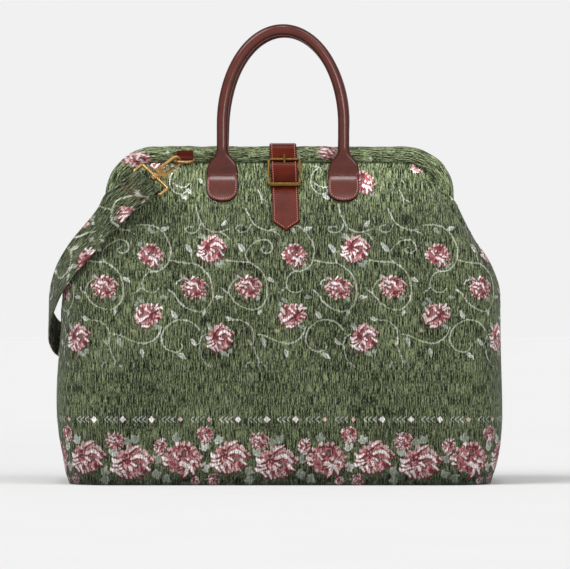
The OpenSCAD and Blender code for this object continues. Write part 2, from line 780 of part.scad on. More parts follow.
// Snap hook: base with two cheeks for the gate, a flat limb, a bend and a nose, and the swivel stem
module hook() {
    limb_x = hook_off - hook_r;
    nose_x = hook_off + hook_r;
    cheek = 1;
    base_top = gate_z + 3;
    difference() {
        union() {
            translate([limb_x - hook_rr, -hook_t / 2, 0]) cube([2 * hook_r - 1.8, hook_t, base_top]);
            for (s = [-1, 1])
                translate([gate_x, s * (hook_t - cheek) / 2, gate_z]) {
                    rod_y(3, cheek);
                    translate([-4, -cheek / 2, -3]) cube([4, cheek, 6]);
                }
            translate([limb_x, 0, base_top - eps])
                cylinder(r = hook_rr, h = hook_len - base_top + eps, $fn = 32);
            translate([hook_off, 0, hook_len]) bow(hook_r, hook_rr, 0, 180);
            translate([nose_x, 0, gate_top + gap])
                cylinder(r = hook_rr, h = hook_len - gate_top - gap, $fn = 32);
            translate([0, 0, -stem_len]) cylinder(r = stem_d / 2, h = stem_len + eps, $fn = 32);
            translate([0, 0, -stem_len - 1.5]) cylinder(r = stem_d / 2 + 1.2, h = 1.5, $fn = 32);
        }
        translate([gate_x, 0, gate_z]) rod_y(gate_pin_d / 2 + 0.05, hook_t + 1);
        translate([gate_x, 0, gate_z]) rod_y(2.6 + gap, hook_t - 2 * cheek);
    }
}

// Gate: a knuckle on its pin and a bar up to the nose
module gate() {
    wide = hook_t - 2 - 2 * gap;
    lean_in = atan2(hook_off + hook_r - gate_x, gate_top - gate_z);
    translate([gate_x, 0, gate_z]) difference() {
        union() {
            rod_y(2.6, wide);
            rotate([0, lean_in, 0]) translate([-1.2, -wide / 2, 0])
                cube([2.4, wide, (gate_top - gate_z) / cos(lean_in) - 0.6]);
        }
        rod_y(gate_pin_d / 2 + 0.15, wide + 1);
    }
}

module gate_pin() {
    translate([gate_x, 0, gate_z]) rod_y(gate_pin_d / 2, hook_t);
}

// Swivel eye: a bored boss on the stem and a wide wire loop for the strap
module hook_eye() {
    top = -stem_len / 2;
    low = -eye_bar_drop;
    wire_r = eye_wire / 2;
    difference() {
        union() {
            translate([0, 0, -stem_len + gap])
                cylinder(r = stem_d / 2 + 2, h = stem_len - 2 * gap, $fn = 32);
            for (z = [top, low])
                translate([0, 0, z]) rod_x(wire_r, 2 * (eye_half - eye_corner));
            for (s = [-1, 1]) {
                translate([s * eye_half, 0, low + eye_corner])
                    cylinder(r = wire_r, h = top - low - 2 * eye_corner, $fn = 32);
                translate([s * (eye_half - eye_corner), 0, top - eye_corner])
                    bow(eye_corner, wire_r, s > 0 ? 0 : 90, s > 0 ? 90 : 180);
                translate([s * (eye_half - eye_corner), 0, low + eye_corner])
                    bow(eye_corner, wire_r, s > 0 ? 270 : 180, s > 0 ? 360 : 270);
            }
        }
        translate([0, 0, -stem_len - 1]) cylinder(r = stem_d / 2 + gap, h = stem_len + 2, $fn = 32);
    }
}

module at_front_hook() {
    along(front_hook_at, front_axis, front_wire) children();
}

module at_back_hook() {
    along(back_hook_at, back_axis, back_wire) children();
}

module front_hook_eye() {
    color("darkgoldenrod") along(front_hook_at, front_axis, front_face) hook_eye();
}

module front_hook() {
    color("goldenrod") at_front_hook() hook();
}

module front_gate() {
    color("khaki") at_front_hook() gate();
}

module front_gate_pin() {
    color("silver") at_front_hook() gate_pin();
}

module back_hook_eye() {
    color("darkgoldenrod") along(back_hook_at, back_axis, back_face) hook_eye();
}

module back_hook() {
    color("goldenrod") at_back_hook() hook();
}

module back_gate() {
    color("khaki") at_back_hook() gate();
}

module back_gate_pin() {
    color("silver") at_back_hook() gate_pin();
}

// Fold of the strap round an eye's bar: the turned-back end, the turn, then the start of the run
function fold(p, a, m) =
    let (q = p - eye_bar_drop * a, n = face_normal(a, m))
    concat(
        [for (f = [1, 0.66, 0.33, 0.12])
            q - f * fold_len * a + mix(fold_r, strap_t + gap - fold_r, sqrt(f)) * n],
        [for (c = [0:30:180]) q + fold_r * (cos(c) * n + sin(c) * a)],
        [for (f = [0.2, 0.6, 1]) q - f * fold_len * a - fold_r * n]
    );

// Outer face of the strap along the fold, turning over with it
function fold_faces(a, m) =
    let (n = face_normal(a, m))
    concat([for (i = [1:4]) n], [for (c = [0:30:180]) cos(c) * n + sin(c) * a], [for (i = [1:3]) -n]);

module shoulder_strap() {
    first = fold(front_hook_at, front_axis, front_face);
    last = fold(back_hook_at, back_axis, back_face);
    n1 = len(first);
    run = smooth(concat([first[n1 - 1]], strap_route, [last[n1 - 1]]), strap_steps);
    run_faces = smooth(concat([fold_faces(front_axis, front_face)[n1 - 1]], strap_faces,
        [fold_faces(back_axis, back_face)[n1 - 1]]), strap_steps);
    path = concat([for (i = [0:n1 - 2]) first[i]], run, [for (i = [n1 - 2:-1:0]) last[i]]);
    faces = concat([for (i = [0:n1 - 2]) fold_faces(front_axis, front_face)[i]], run_faces,
        [for (i = [n1 - 2:-1:0]) fold_faces(back_axis, back_face)[i]]);
    n = len(path) - 1;
    dir = [for (i = [0:n]) unit(path[min(n, i + 1)] - path[max(0, i - 1)])];
    across_dir = [for (i = [0:n]) unit(cross(dir[i], faces[i]))];
    out = [for (i = [0:n]) cross(across_dir[i], dir[i])];
    outer = [for (i = [0:n], s = [-1, 1])
        path[i] + strap_t / 2 * out[i] + s * strap_w / 2 * across_dir[i]];
    inner = [for (i = [0:n], s = [-1, 1])
        path[i] - strap_t / 2 * out[i] + s * strap_w / 2 * across_dir[i]];
    color("darkseagreen") sheet(inner, outer, n, 1);
}

front_panel();
back_panel();
base_panel();
base_board();
front_rim();
back_rim();
front_frame();
back_frame();
left_hinge_rivet();
right_hinge_rivet();
front_handle();
front_handle_tab_left();
front_handle_tab_right();
back_handle();
back_handle_tab_left();
back_handle_tab_right();
closure_strap();
closure_chape();
buckle_frame();
buckle_prong();
front_ring_tab();
front_ring();
front_hook_eye();
front_hook();
front_gate();
front_gate_pin();
back_ring_tab();
back_ring();
back_hook_eye();
back_hook();
back_gate();
back_gate_pin();
shoulder_strap();
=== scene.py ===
import math

import bpy
import numpy as np
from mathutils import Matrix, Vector


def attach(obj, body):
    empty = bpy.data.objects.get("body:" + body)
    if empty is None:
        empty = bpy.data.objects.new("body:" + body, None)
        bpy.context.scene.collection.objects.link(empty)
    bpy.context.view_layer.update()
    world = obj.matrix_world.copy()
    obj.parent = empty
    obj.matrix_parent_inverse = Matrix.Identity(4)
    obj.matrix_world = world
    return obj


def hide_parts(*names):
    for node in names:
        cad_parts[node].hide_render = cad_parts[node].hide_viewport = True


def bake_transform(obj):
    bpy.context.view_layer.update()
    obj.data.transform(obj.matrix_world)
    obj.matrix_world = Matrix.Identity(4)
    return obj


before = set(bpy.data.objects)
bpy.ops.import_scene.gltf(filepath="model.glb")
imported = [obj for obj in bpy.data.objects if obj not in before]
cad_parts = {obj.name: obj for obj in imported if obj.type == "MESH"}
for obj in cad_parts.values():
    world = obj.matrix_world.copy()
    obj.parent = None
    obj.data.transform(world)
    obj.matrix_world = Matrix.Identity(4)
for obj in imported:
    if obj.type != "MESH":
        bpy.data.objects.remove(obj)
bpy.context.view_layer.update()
scene = bpy.context.scene
MM = 0.001

# Sizes repeated from the part's source, in millimetres
BELLY_W, BELLY_D, BELLY_Z = 512.0, 224.0, 85.0
BASE_W, BASE_D, BASE_R = 480.0, 210.0, 52.0
SHOULDER_Z, SHOULDER_W, SHOULDER_D = 192.0, 504.0, 220.0
LIP_D, LIP_H = 25.0, 13.0
BAG_H, MOUTH_W, MOUTH_R, ROLL_R, FOOT_LEN = 386.0, 402.0, 58.0, 10.0, 10.0
GAP, SEAM_OUT, SEAM_DROP, FOOT_EASE = 0.3, 4.5, 4.0, 1.9
LEAN_EASE_W, LEAN_EASE_D = 50.0, 70.0
LAP_RISE = 14.0
LAP_N, CORNER_N, FRONT_N = 8, 6, 5
HALF_N = LAP_N + CORNER_N + FRONT_N

RIM_X = MOUTH_W / 2 - ROLL_R
RIM_Y = ROLL_R + GAP
RIM_Z = BAG_H - ROLL_R
RIM_R = MOUTH_R - ROLL_R
CORNER_X = RIM_X - RIM_R
CORNER_Z = RIM_Z - RIM_R
FOOT_Z = CORNER_Z - FOOT_LEN
SEAM_IN = ROLL_R + GAP
SEAM_Y = RIM_Y + SEAM_OUT
SEAM_TOP_Z = RIM_Z - SEAM_IN
EDGE_R = RIM_R - SEAM_IN
LAP_ANGLE = math.degrees(math.asin(LAP_RISE / EDGE_R))
LAP_Z = CORNER_Z + LAP_RISE
LAP_DX = CORNER_X + EDGE_R * math.cos(math.radians(LAP_ANGLE)) - RIM_X
LAP_DY = RIM_Y - SEAM_Y
LAP_R = math.hypot(LAP_DX, LAP_DY)
LAP_START = math.degrees(math.atan2(LAP_DY, LAP_DX))
FOOT_R = LAP_R + FOOT_EASE
FOOT_ANGLE = math.degrees(math.asin(RIM_Y / FOOT_R))
SIDE_SEAM_Z = FOOT_Z - SEAM_DROP
SIDE_SEAM_X = RIM_X + FOOT_R * math.cos(math.radians(FOOT_ANGLE))
LIP_Z = SEAM_TOP_Z - LIP_H
SIDES = {1: "front", -1: "back"}


def srgb(r, g, b):
    """Linear colour from 8-bit screen values."""
    c = np.array([r, g, b]) / 255
    return np.where(c <= 0.04045, c / 12.92, ((c + 0.055) / 1.055) ** 2.4)


def unit(v):
    v = np.asarray(v, float)
    return v / np.linalg.norm(v, axis=-1, keepdims=True)


def smooth(points, steps):
    """Catmull-Rom curve through points."""
    p = np.asarray(points, float)
    n = len(p)
    t = np.arange(steps)[:, None] / steps
    out = []
    for i in range(n - 1):
        a, b, c, d = p[max(0, i - 1)], p[i], p[i + 1], p[min(n - 1, i + 2)]
        bend = (2 * a - 5 * b + 4 * c - d) / 2 + t * (3 * b - a - 3 * c + d) / 2
        out.append(b + t * ((c - a) / 2 + t * bend))
    return np.vstack(out + [p[-1:]])


def step(x, low, high):
    f = np.clip((x - low) / (high - low), 0, 1)
    return f * f * (3 - 2 * f)


def lengths(points):
    """Distance of each point from the start of its line."""
    return np.r_[0, np.cumsum(np.linalg.norm(np.diff(points, axis=0), axis=1))]


def resample(at, d, rows):
    """Rows known at the lengths d, read at other lengths."""
    return np.stack([np.interp(at, d, column) for column in np.transpose(rows)], -1)


def circle(n):
    return np.linspace(0, 2 * np.pi, n, endpoint=False)


def power(c, n):
    return np.sign(c) * np.abs(c) ** (2.0 / n)


def rounded_loop(w, h, r, n):
    """Rectangle of w by h with corners of radius r, n points to a corner."""
    pts = []
    for sx, sy, a0 in ((1, 1, 0), (-1, 1, 90), (-1, -1, 180), (1, -1, 270)):
        for a in np.radians(np.linspace(a0, a0 + 90, n)):
            pts.append([sx * (w / 2 - r) + r * math.cos(a), sy * (h / 2 - r) + r * math.sin(a)])
    return np.array(pts)


# Cloth surface of one side of the bag
def lean(s, length, ease, drop):
    k = drop / (length - ease / 2)
    return np.where(s < ease, k * s * s / (2 * ease), k * (s - ease / 2))


def belly(z, base, wide, shoulder):
    low = wide - (wide - base) * np.clip((BELLY_Z - z) / BELLY_Z, 0, 1) ** 2.2
    turn = np.clip((z - BELLY_Z) / (SHOULDER_Z - BELLY_Z), 0, 1)
    high = wide + (shoulder - wide) * (1 - np.cos(np.pi * turn)) / 2
    return np.where(z < BELLY_Z, low, high)


def half_width(z):
    up = SHOULDER_W / 2 - lean(np.maximum(z - SHOULDER_Z, 0), SIDE_SEAM_Z - SHOULDER_Z, LEAN_EASE_W,
                               SHOULDER_W / 2 - SIDE_SEAM_X)
    return np.where(z < SHOULDER_Z, belly(z, BASE_W / 2, BELLY_W / 2, SHOULDER_W / 2), up)


def half_depth(z):
    z = np.asarray(z, float)
    up = SHOULDER_D / 2 - lean(np.maximum(z - SHOULDER_Z, 0), LIP_Z - SHOULDER_Z, LEAN_EASE_D,
                               SHOULDER_D / 2 - LIP_D)
    lip = SEAM_Y + (LIP_D - SEAM_Y) * np.sqrt(np.clip(1 - ((z - LIP_Z) / LIP_H) ** 2, 0, 1))
    low = belly(z, BASE_D / 2, BELLY_D / 2, SHOULDER_D / 2)
    return np.where(z < SHOULDER_Z, low, np.where(z < LIP_Z, up, lip))


def base_point(k):
    a = np.radians(90 * np.clip((k - LAP_N) / CORNER_N, 0, 1))
    side = np.clip(k / LAP_N, 0, 1)
    flat = np.clip((HALF_N - k) / FRONT_N, 0, 1)
    straight_x, straight_y = BASE_W / 2 - BASE_R, BASE_D / 2 - BASE_R
    x = np.where(k <= LAP_N + CORNER_N, straight_x + BASE_R * np.cos(a), straight_x * flat)
    y = np.where(k <= LAP_N, -straight_y * side, -straight_y - BASE_R * np.sin(a))
    return x, y


def edge_point(k):
    f = np.clip(k / LAP_N, 0, 1)
    turn = np.radians(FOOT_ANGLE + (LAP_START - FOOT_ANGLE) * f)
    r = LAP_R + (FOOT_R - LAP_R) * (1 - f) ** 4
    a = np.radians(LAP_ANGLE + (90 - LAP_ANGLE) * np.clip((k - LAP_N) / CORNER_N, 0, 1))
    flat = np.clip((HALF_N - k) / FRONT_N, 0, 1)
    lap, corner = k <= LAP_N, k <= LAP_N + CORNER_N
    beyond = np.where(corner, CORNER_X + EDGE_R * np.cos(a), CORNER_X * flat)
    x = np.where(lap, RIM_X + r * np.cos(turn), beyond)
    y = np.where(lap, -RIM_Y + r * np.sin(turn), -SEAM_Y)
    z = np.where(lap, SIDE_SEAM_Z + (LAP_Z - SIDE_SEAM_Z) * f, CORNER_Z + EDGE_R * np.sin(a))
    return x, y, z


def rise(start, to, z, at, base, shoulder, end):
    s = start * shoulder / base
    return np.where(z < SHOULDER_Z, start * at / base, s + (to - s) * (shoulder - at) / (shoulder - end))


def wall(w, t):
    """Point of the front cloth: w runs from the left seam (-HALF_N) to the right, t from floor to top."""
    k = HALF_N - np.abs(w)
    bx, by = base_point(k)
    ex, ey, ez = edge_point(k)
    zw, zd = t * SIDE_SEAM_Z, t * SEAM_TOP_Z
    x = rise(bx, ex, zw, half_width(zw), BASE_W / 2, SHOULDER_W / 2, SIDE_SEAM_X)
    y = rise(by, ey, zd, half_depth(zd), BASE_D / 2, SHOULDER_D / 2, SEAM_Y)
    return np.stack([np.sign(w) * x, y, t * ez], -1)


HANDLE_X, ARCH_A = 3.5, 69.5
CLOSURE_X = 5.0


def slack(p, w):
    """How far the cloth falls in: soft folds and a gathered top, none under the leather."""
    x, z = p[..., 0], p[..., 2]
    folds = 0.9 * np.sin(x / 31 + 0.7 + z / 90) * np.sin(z / 47 + 0.4) + 0.7 * np.sin(x / 17 - z / 38)
    folds += 0.5 * np.sin(x / 9.5 + 1.9 * np.sin(z / 60))
    corner = np.sin((np.abs(x) * 0.75 + z) / 11.0) * step(np.abs(x), 90, 165) * step(z, 240, 300)
    gather = np.sin(x / 2.9 + 1.3 * np.sin(x / 23)) * step(z, 319, 360) * step(np.abs(w), 0.0, 0.3)
    free = 1 - step(30 - np.abs(np.abs(x - HANDLE_X) - ARCH_A), 0, 8) * step(z, 290, 305)
    free *= 1 - step(26 - np.abs(x - CLOSURE_X), 0, 8) * step(z, 262, 280)
    free *= step(HALF_N - np.abs(w), 0.0, 2.5) * step(z, 8, 40) * (1 - step(z, 360, 365))
    return free * (1.7 - folds - 0.9 * corner - 0.5 * gather)


def normals(p):
    du = np.gradient(p, axis=0)
    dv = np.gradient(p, axis=1)
    n = np.cross(du, dv)
    return n / np.maximum(np.linalg.norm(n, axis=-1, keepdims=True), 1e-9)


def spaced(values, points, pitch):
    """Values at an even spacing along a sampled line."""
    d = lengths(points)
    n = int(round(d[-1] / pitch)) + 1
    return np.interp(np.linspace(0, d[-1], n), d, values)


def cloth_grid(pitch_u, pitch_v):
    """Grid of points on the front cloth, their outward normals and distances from the middle line."""
    w = np.linspace(0, HALF_N, 2400)
    right = spaced(w, wall(w, np.full_like(w, 0.45)), pitch_u)
    w = np.r_[-right[:0:-1], right]
    t = np.linspace(0, 1, 2400)
    t = spaced(t, wall(np.full_like(t, 0.0), t), pitch_v)
    ww, tt = np.meshgrid(w, t, indexing="ij")
    p = wall(ww, tt)
    n = normals(p)
    n[0], n[-1] = n[0] * [1, 0, 1], n[-1] * [1, 0, 1]
    n = unit(n)
    p = p - n * slack(p, ww)[..., None]
    n = normals(p)
    d = np.linalg.norm(np.diff(p, axis=0), axis=-1)
    u = np.vstack([np.zeros((1, d.shape[1])), np.cumsum(d, axis=0)])
    return p, n, u - u[len(right) - 1]


# Woven pattern, in pattern units: one repeat is 144 wide, heights are above the floor
UNIT = 1.134
REPEAT = 144.0
GROUND = srgb(95, 104, 76)
CREAM = srgb(162, 165, 135)
PALE = srgb(206, 210, 200)
GREY = srgb(158, 166, 152)
BEIGE = srgb(158, 152, 118)
DEEP = srgb(126, 62, 66)
ROSE = srgb(176, 110, 113)
PINK = srgb(214, 180, 178)
WHITE = srgb(240, 234, 231)
EYE = srgb(112, 108, 96)
SHADE = srgb(58, 72, 54)

VINES = [
    (1.0, CREAM, [(6.1, 259.5), (15.8, 259.9), (24.2, 258.3), (30.3, 254.1), (35.2, 248), (39.4, 240.2),
        (40.6, 232.3), (38.8, 223.8), (35.2, 217.7), (29.1, 213.8), (23, 213.1), (18.8, 215.5)]),
    (0.9, CREAM, [(23, 213.1), (18.2, 211.7), (13.9, 206.8), (12.5, 200.8), (14.5, 195.3), (19.4, 192.3),
        (24.8, 192.5), (28.5, 195.9)]),
    (0.8, GREY, [(12.5, 196.9), (8.5, 194.1), (4.8, 191.7)]),
    (1.0, CREAM, [(40, 224.4), (48.5, 222.6), (57, 221.4), (64.2, 220.8), (71.5, 216.5), (77.6, 210.5),
        (81.2, 203.2), (83, 194.7), (82.8, 187.4), (80, 180.2), (75.2, 175.3), (69.1, 173.1), (61.8, 174.7),
        (54.5, 178.3), (48.5, 183.8), (44.8, 189.8), (41.8, 193.2)]),
    (0.8, PALE, [(46.1, 200.2), (48.5, 203.8), (53.3, 204.8)]),
    (0.7, CREAM, [(63, 221.4), (61.2, 227.4), (61.8, 231.1), (65.5, 234.1)]),
    (0.8, GREY, [(63, 257.5), (59.4, 258.3), (55.8, 257.1), (54.9, 254.7), (58.2, 252.3), (63.6, 251.9),
        (67.9, 255.3), (69.9, 260.8)]),
    (0.9, CREAM, [(65.1, 280.7), (66.5, 272.7), (70.5, 263.3), (75.2, 256.5), (82.4, 252.9), (89.7, 252.9),
        (95.8, 254.7), (98.8, 255.9)]),
    (0.7, BEIGE, [(90.9, 252.3), (95.8, 249.2), (99.2, 245)]),
    (0.8, GREY, [(112.7, 259.5), (107.9, 258.9), (105.8, 256.5), (107.9, 253.5), (112.7, 252.3),
        (117.6, 254.7), (120.2, 260.2)]),
    (0.9, CREAM, [(115.4, 276.7), (118, 270), (122.7, 262), (126.1, 258.9), (132.1, 255.9), (138.2, 254.3),
        (144.2, 255.5)]),
    (0.7, GREY, [(139.4, 254.3), (145.5, 252.3), (149.7, 249.2)]),
    (1.0, CREAM, [(95.8, 224.4), (104.2, 223.2), (112.7, 222.6), (119.4, 222.3), (126.1, 218.3),
        (132.1, 212.9), (135.8, 205.6), (137.3, 197.1), (137, 187.4), (133.3, 180.2), (127.3, 175.5),
        (121.2, 175.1), (113.9, 177.1), (106.7, 181.4), (101.8, 187.4), (98.8, 192.3), (99.4, 197.1),
        (103, 202.6), (107.9, 205.8)]),
    (0.8, PALE, [(98.4, 191.7), (94.5, 193.7), (91.8, 197.1)]),
    (0.9, CREAM, [(119.4, 222.6), (116.4, 226.2), (115.8, 229.8), (117.6, 234.7), (122.4, 240.2),
        (128.5, 243.8), (135.2, 245), (140, 242.6), (142.4, 237.7), (141.2, 233.5), (136.4, 231.3),
        (132.1, 232.9), (131.5, 235.9), (134.8, 237.1)]),
    (1.0, CREAM, [(69.7, 154.1), (65.5, 159.5), (59.4, 163.4), (52.7, 164.8), (46.7, 164.4), (40, 160.8),
        (34.5, 155.3), (31.8, 148), (33.3, 140.2), (38.8, 134.7), (45.5, 132.9), (50.3, 134.3),
        (52.7, 138.3), (50.9, 142)]),
    (1.0, CREAM, [(31.8, 157.7), (29.1, 150.5), (23.6, 144.4), (15.8, 141.4), (7.3, 142.3), (-1.8, 145.6),
        (-9.1, 149.2), (-16.4, 150.5)]),
    (0.8, CREAM, [(76.4, 150.5), (71.5, 147.4), (70.3, 142.6), (66.1, 140.2), (63, 143.8)]),
    (0.7, GREY, [(69.7, 138.9), (71.5, 129.2), (75.2, 122.6), (81.5, 117.5)]),
    (0.8, BEIGE, [(97, 166.6), (104.2, 165), (112.7, 163.8), (119.4, 159.5), (123, 154.7), (123.6, 147.4),
        (123.6, 142.6), (121.2, 140.2), (117.6, 145)]),
    (0.8, GREY, [(124.2, 137.7), (126.1, 130.5), (129.1, 123.8), (127.9, 117.5)]),
    (0.7, GREY, [(129.1, 123.8), (132.7, 122), (135.8, 117.5)]),
    (0.7, GREY, [(116.4, 117.5), (117, 121.4), (121.2, 122.6)]),
    (0.8, PALE, [(41.7, 302.1), (47, 298.8), (53.7, 298.1), (58, 301.9)]),
    (0.8, GREY, [(39.3, 319.4), (47, 318), (49, 314.5)]),
    (0.7, PALE, [(46, 318.5), (39.5, 311.5), (38, 302.1), (41.7, 294.2), (50, 291.1), (57, 295.7)]),
    (0.6, GREY, [(68.2, 304.8), (71.8, 301.5), (76.5, 298.8)]),
    (0.7, PALE, [(76.5, 288.8), (81.2, 286.1), (86.2, 281.8)]),
    (0.7, PALE, [(127.4, 295.4), (130.3, 289.8), (131.7, 281.4)]),
    (0.7, GREY, [(131.2, 287.1), (137.4, 282.6)]),
]
LEAVES = [
    (PALE, [(29.7, 254.7, 39.4, 257.5), (61.6, 231.7, 54.8, 241), (114.9, 232.5, 107.3, 242.2),
        (91.2, 257.7, 97, 265), (84.6, 187.4, 93.9, 187.4), (137, 206.8, 145.2, 202.5),
        (75.4, 175.1, 72.5, 167.4), (130.7, 175.3, 128, 169), (47, 165.8, 41, 175.1),
        (47.9, 131.9, 57, 125.8), (103, 164.6, 94.5, 168), (11.5, 136.5, 13.3, 126.8),
        (42.4, 192.3, 37.8, 195.7), (66.1, 138.9, 60.6, 146.8), (75.8, 245, 69.3, 251.7),
        (82.4, 154.1, 77, 161.4), (54.4, 296.5, 61.5, 290.4), (71.4, 301.5, 66.9, 307.2),
        (56.8, 286.1, 48, 290.9)]),
    (GREY, [(17, 257.7, 22.4, 249.8), (29.7, 187.4, 39, 187.2), (132.1, 148, 135.5, 136.5),
        (83.6, 221.4, 92.1, 217.1), (89.7, 134.1, 99.4, 128), (14.5, 181.4, 7.3, 187.4),
        (23.6, 160.2, 29.1, 155.9), (129.4, 306.2, 132.8, 302.1), (30.5, 219, 24, 221)]),
    (BEIGE, [(0, 154.1, 7.5, 153.5), (122.4, 140.8, 116.4, 145.6), (130.3, 245.6, 125.5, 248)]),
]
VINE_ROSES = [(20.6, 229.8, 12.8, 11.9, 0, 0), (81.8, 235.9, 13.6, 14.3, 1, 0),
    (64.2, 196.5, 12.8, 11.2, 2, 0), (118.2, 197.7, 12.6, 11.4, 2, 0), (17.9, 169.8, 13.1, 12.8, 3, 0),
    (90.3, 147.4, 13.3, 14.3, 1, 10), (90.5, 303, 12.5, 12.5, 0, 15)]
CUT_ROSES = [(27.5, 322, 9, 7, 3, 15), (292, 320, 9, 7, 1, 40)]
BORDER_ROSES = [(100.4, 27.9, 18.5, 17, 1, 0), (2.8, 22.9, 19.6, 17.5, 1, 0), (53.4, 26.3, 20.5, 18, 0, 0),
    (129.4, 43.7, 9.3, 8.8, 2, 0), (30.2, 38.7, 6.6, 8.2, 3, 20), (75.5, 50.6, 8.8, 8.6, 0, -30),
    (65.8, 4.2, 4.8, 4.2, 1, 0), (83.2, 5.0, 6.2, 6.2, 2, 40)]
BORDER_LEAVES = [(127, 30.4, PALE, 70), (117, 14.7, GREY, -20), (24.4, 10.5, GREY, 10),
    (75.8, 36.2, PALE, 120), (73.3, 17, PALE, 15), (89.9, 42.8, PALE, 110), (26, 23.8, GREY, 60),
    (140.5, 42, GREY, 20), (35, 8, GREY, -40), (122, 6, GREY, 190), (46, 45, GREY, 80), (7, 44, GREY, 130)]
BORDER_Z = 65.5
DIAMOND_PITCH = REPEAT / 5


# Streaks of four roses in the rose's own radius: start, end, half width, tone (white, pink, deep, eye).
ROSES = (
    [(.15, .62, .1, .5, .15, "d"), (-.05, -.5, -.2, -.7, .1, "d"), (-.11, -.28, .28, -.37, .12, "w"),
     (.28, -.37, .62, -.72, .12, "w"), (.3, -.5, .55, -.76, .03, "d"), (.24, -.6, .2, -.9, .09, "w"),
     (-.97, -.2, -.8, -.12, .1, "w"), (-.8, -.43, -.7, -.4, .09, "w"), (-.8, .43, -.74, .38, .08, "p"),
     (-.41, .78, -.36, .7, .1, "w"), (-.07, .83, -.05, .76, .08, "p"), (.2, .9, .2, .83, .07, "p"),
     (-.43, .3, -.24, -.04, .06, "w"), (.54, .39, .59, .17, .07, "p"), (.37, -.17, .63, -.2, .08, "w"),
     (.72, .04, .8, 0, .07, "p"), (.93, -.17, .86, -.14, .06, "p"), (.72, -.35, .66, -.32, .06, "p"),
     (.13, .28, .13, .24, .17, "d"), (-.13, .24, -.1, .2, .06, "w"), (.2, .02, .16, .05, .08, "w"),
     (.13, .28, .13, .26, .1, "e")],
    [(-.32, .13, -.25, .0, .15, "d"), (.66, -.43, .5, -.4, .12, "d"), (.06, .94, -.4, .47, .1, "p"),
     (.1, .9, -.2, .62, .05, "w"), (.57, .34, .0, .27, .14, "w"), (.53, .72, .96, .34, .07, "p"),
     (.3, .66, .7, .5, .06, "p"), (.66, .24, .84, .14, .08, "w"), (-.96, -.08, -.57, .08, .1, "w"),
     (-.92, -.32, -.6, -.22, .07, "w"), (-.83, -.64, -.57, -.42, .1, "w"), (-.19, -.26, -.02, -.46, .08, "w"),
     (-.02, -.02, .12, -.24, .07, "w"), (-.42, -.3, -.3, -.46, .05, "p"), (-.36, -.6, -.15, -.9, .08, "w"),
     (-.6, -.72, -.4, -.97, .07, "w"), (.05, -.6, .23, -.84, .06, "p"), (.4, -.6, .55, -.66, .07, "p"),
     (.62, -.12, .9, -.27, .07, "w"), (.3, -.17, .3, -.2, .14, "d"), (.3, -.17, .3, -.2, .09, "e")],
    [(.33, .52, .4, .4, .14, "d"), (.24, -.52, .4, -.45, .16, "d"), (-.56, .52, .16, .31, .14, "w"),
     (-.9, .67, -.6, .62, .08, "p"), (-.96, -.05, -.73, .29, .08, "p"), (-.64, .05, -.33, .1, .08, "w"),
     (.2, .18, .51, -.19, .07, "w"), (-.2, .07, -.02, -.08, .06, "w"), (-.29, .95, -.24, .78, .1, "w"),
     (.07, .88, .07, .78, .07, "p"), (.51, .86, .46, .76, .08, "p"), (.73, .62, 1, .43, .09, "p"),
     (-.42, -.3, -.36, -.52, .08, "w"), (-.69, -.24, -.66, -.3, .07, "p"), (-.56, -.76, -.5, -.66, .07, "p"),
     (-.07, -.6, -.05, -.7, .07, "w"), (0, -.98, .05, -.85, .08, "p"), (.69, -.71, .6, -.62, .08, "p"),
     (.91, -.43, .84, -.38, .07, "p"), (.97, -.15, .86, -.12, .06, "p"), (.6, .1, .8, .05, .06, "p"),
     (-.04, -.21, -.04, -.24, .13, "d"), (-.04, -.21, -.04, -.24, .09, "e")],
    [(.5, .2, .4, .1, .15, "d"), (.32, -.09, .3, -.35, .1, "d"), (-.83, -.1, -.58, -.42, .08, "w"),
     (-.58, -.44, .06, -.06, .12, "w"), (-.91, -.34, -.57, -.77, .08, "p"), (-.15, -.98, .28, -.81, .1, "w"),
     (-.3, -.72, .1, -.62, .06, "p"), (-.83, .3, -.57, .13, .11, "w"), (-.57, .68, -.5, .6, .07, "p"),
     (-.25, .8, -.1, .62, .06, "p"), (-.12, .47, .17, .19, .09, "w"), (.13, .92, .34, .52, .06, "w"),
     (.49, .98, .53, .47, .07, "w"), (.83, .81, .57, .36, .09, "w"), (.98, .34, .68, .21, .08, "p"),
     (.98, .09, .68, -.14, .08, "p"), (.75, -.42, .55, -.4, .06, "p"), (.3, -.5, .42, -.66, .06, "p"),
     (-.4, .2, -.38, .16, .12, "d"), (-.4, .2, -.38, .16, .07, "e")])


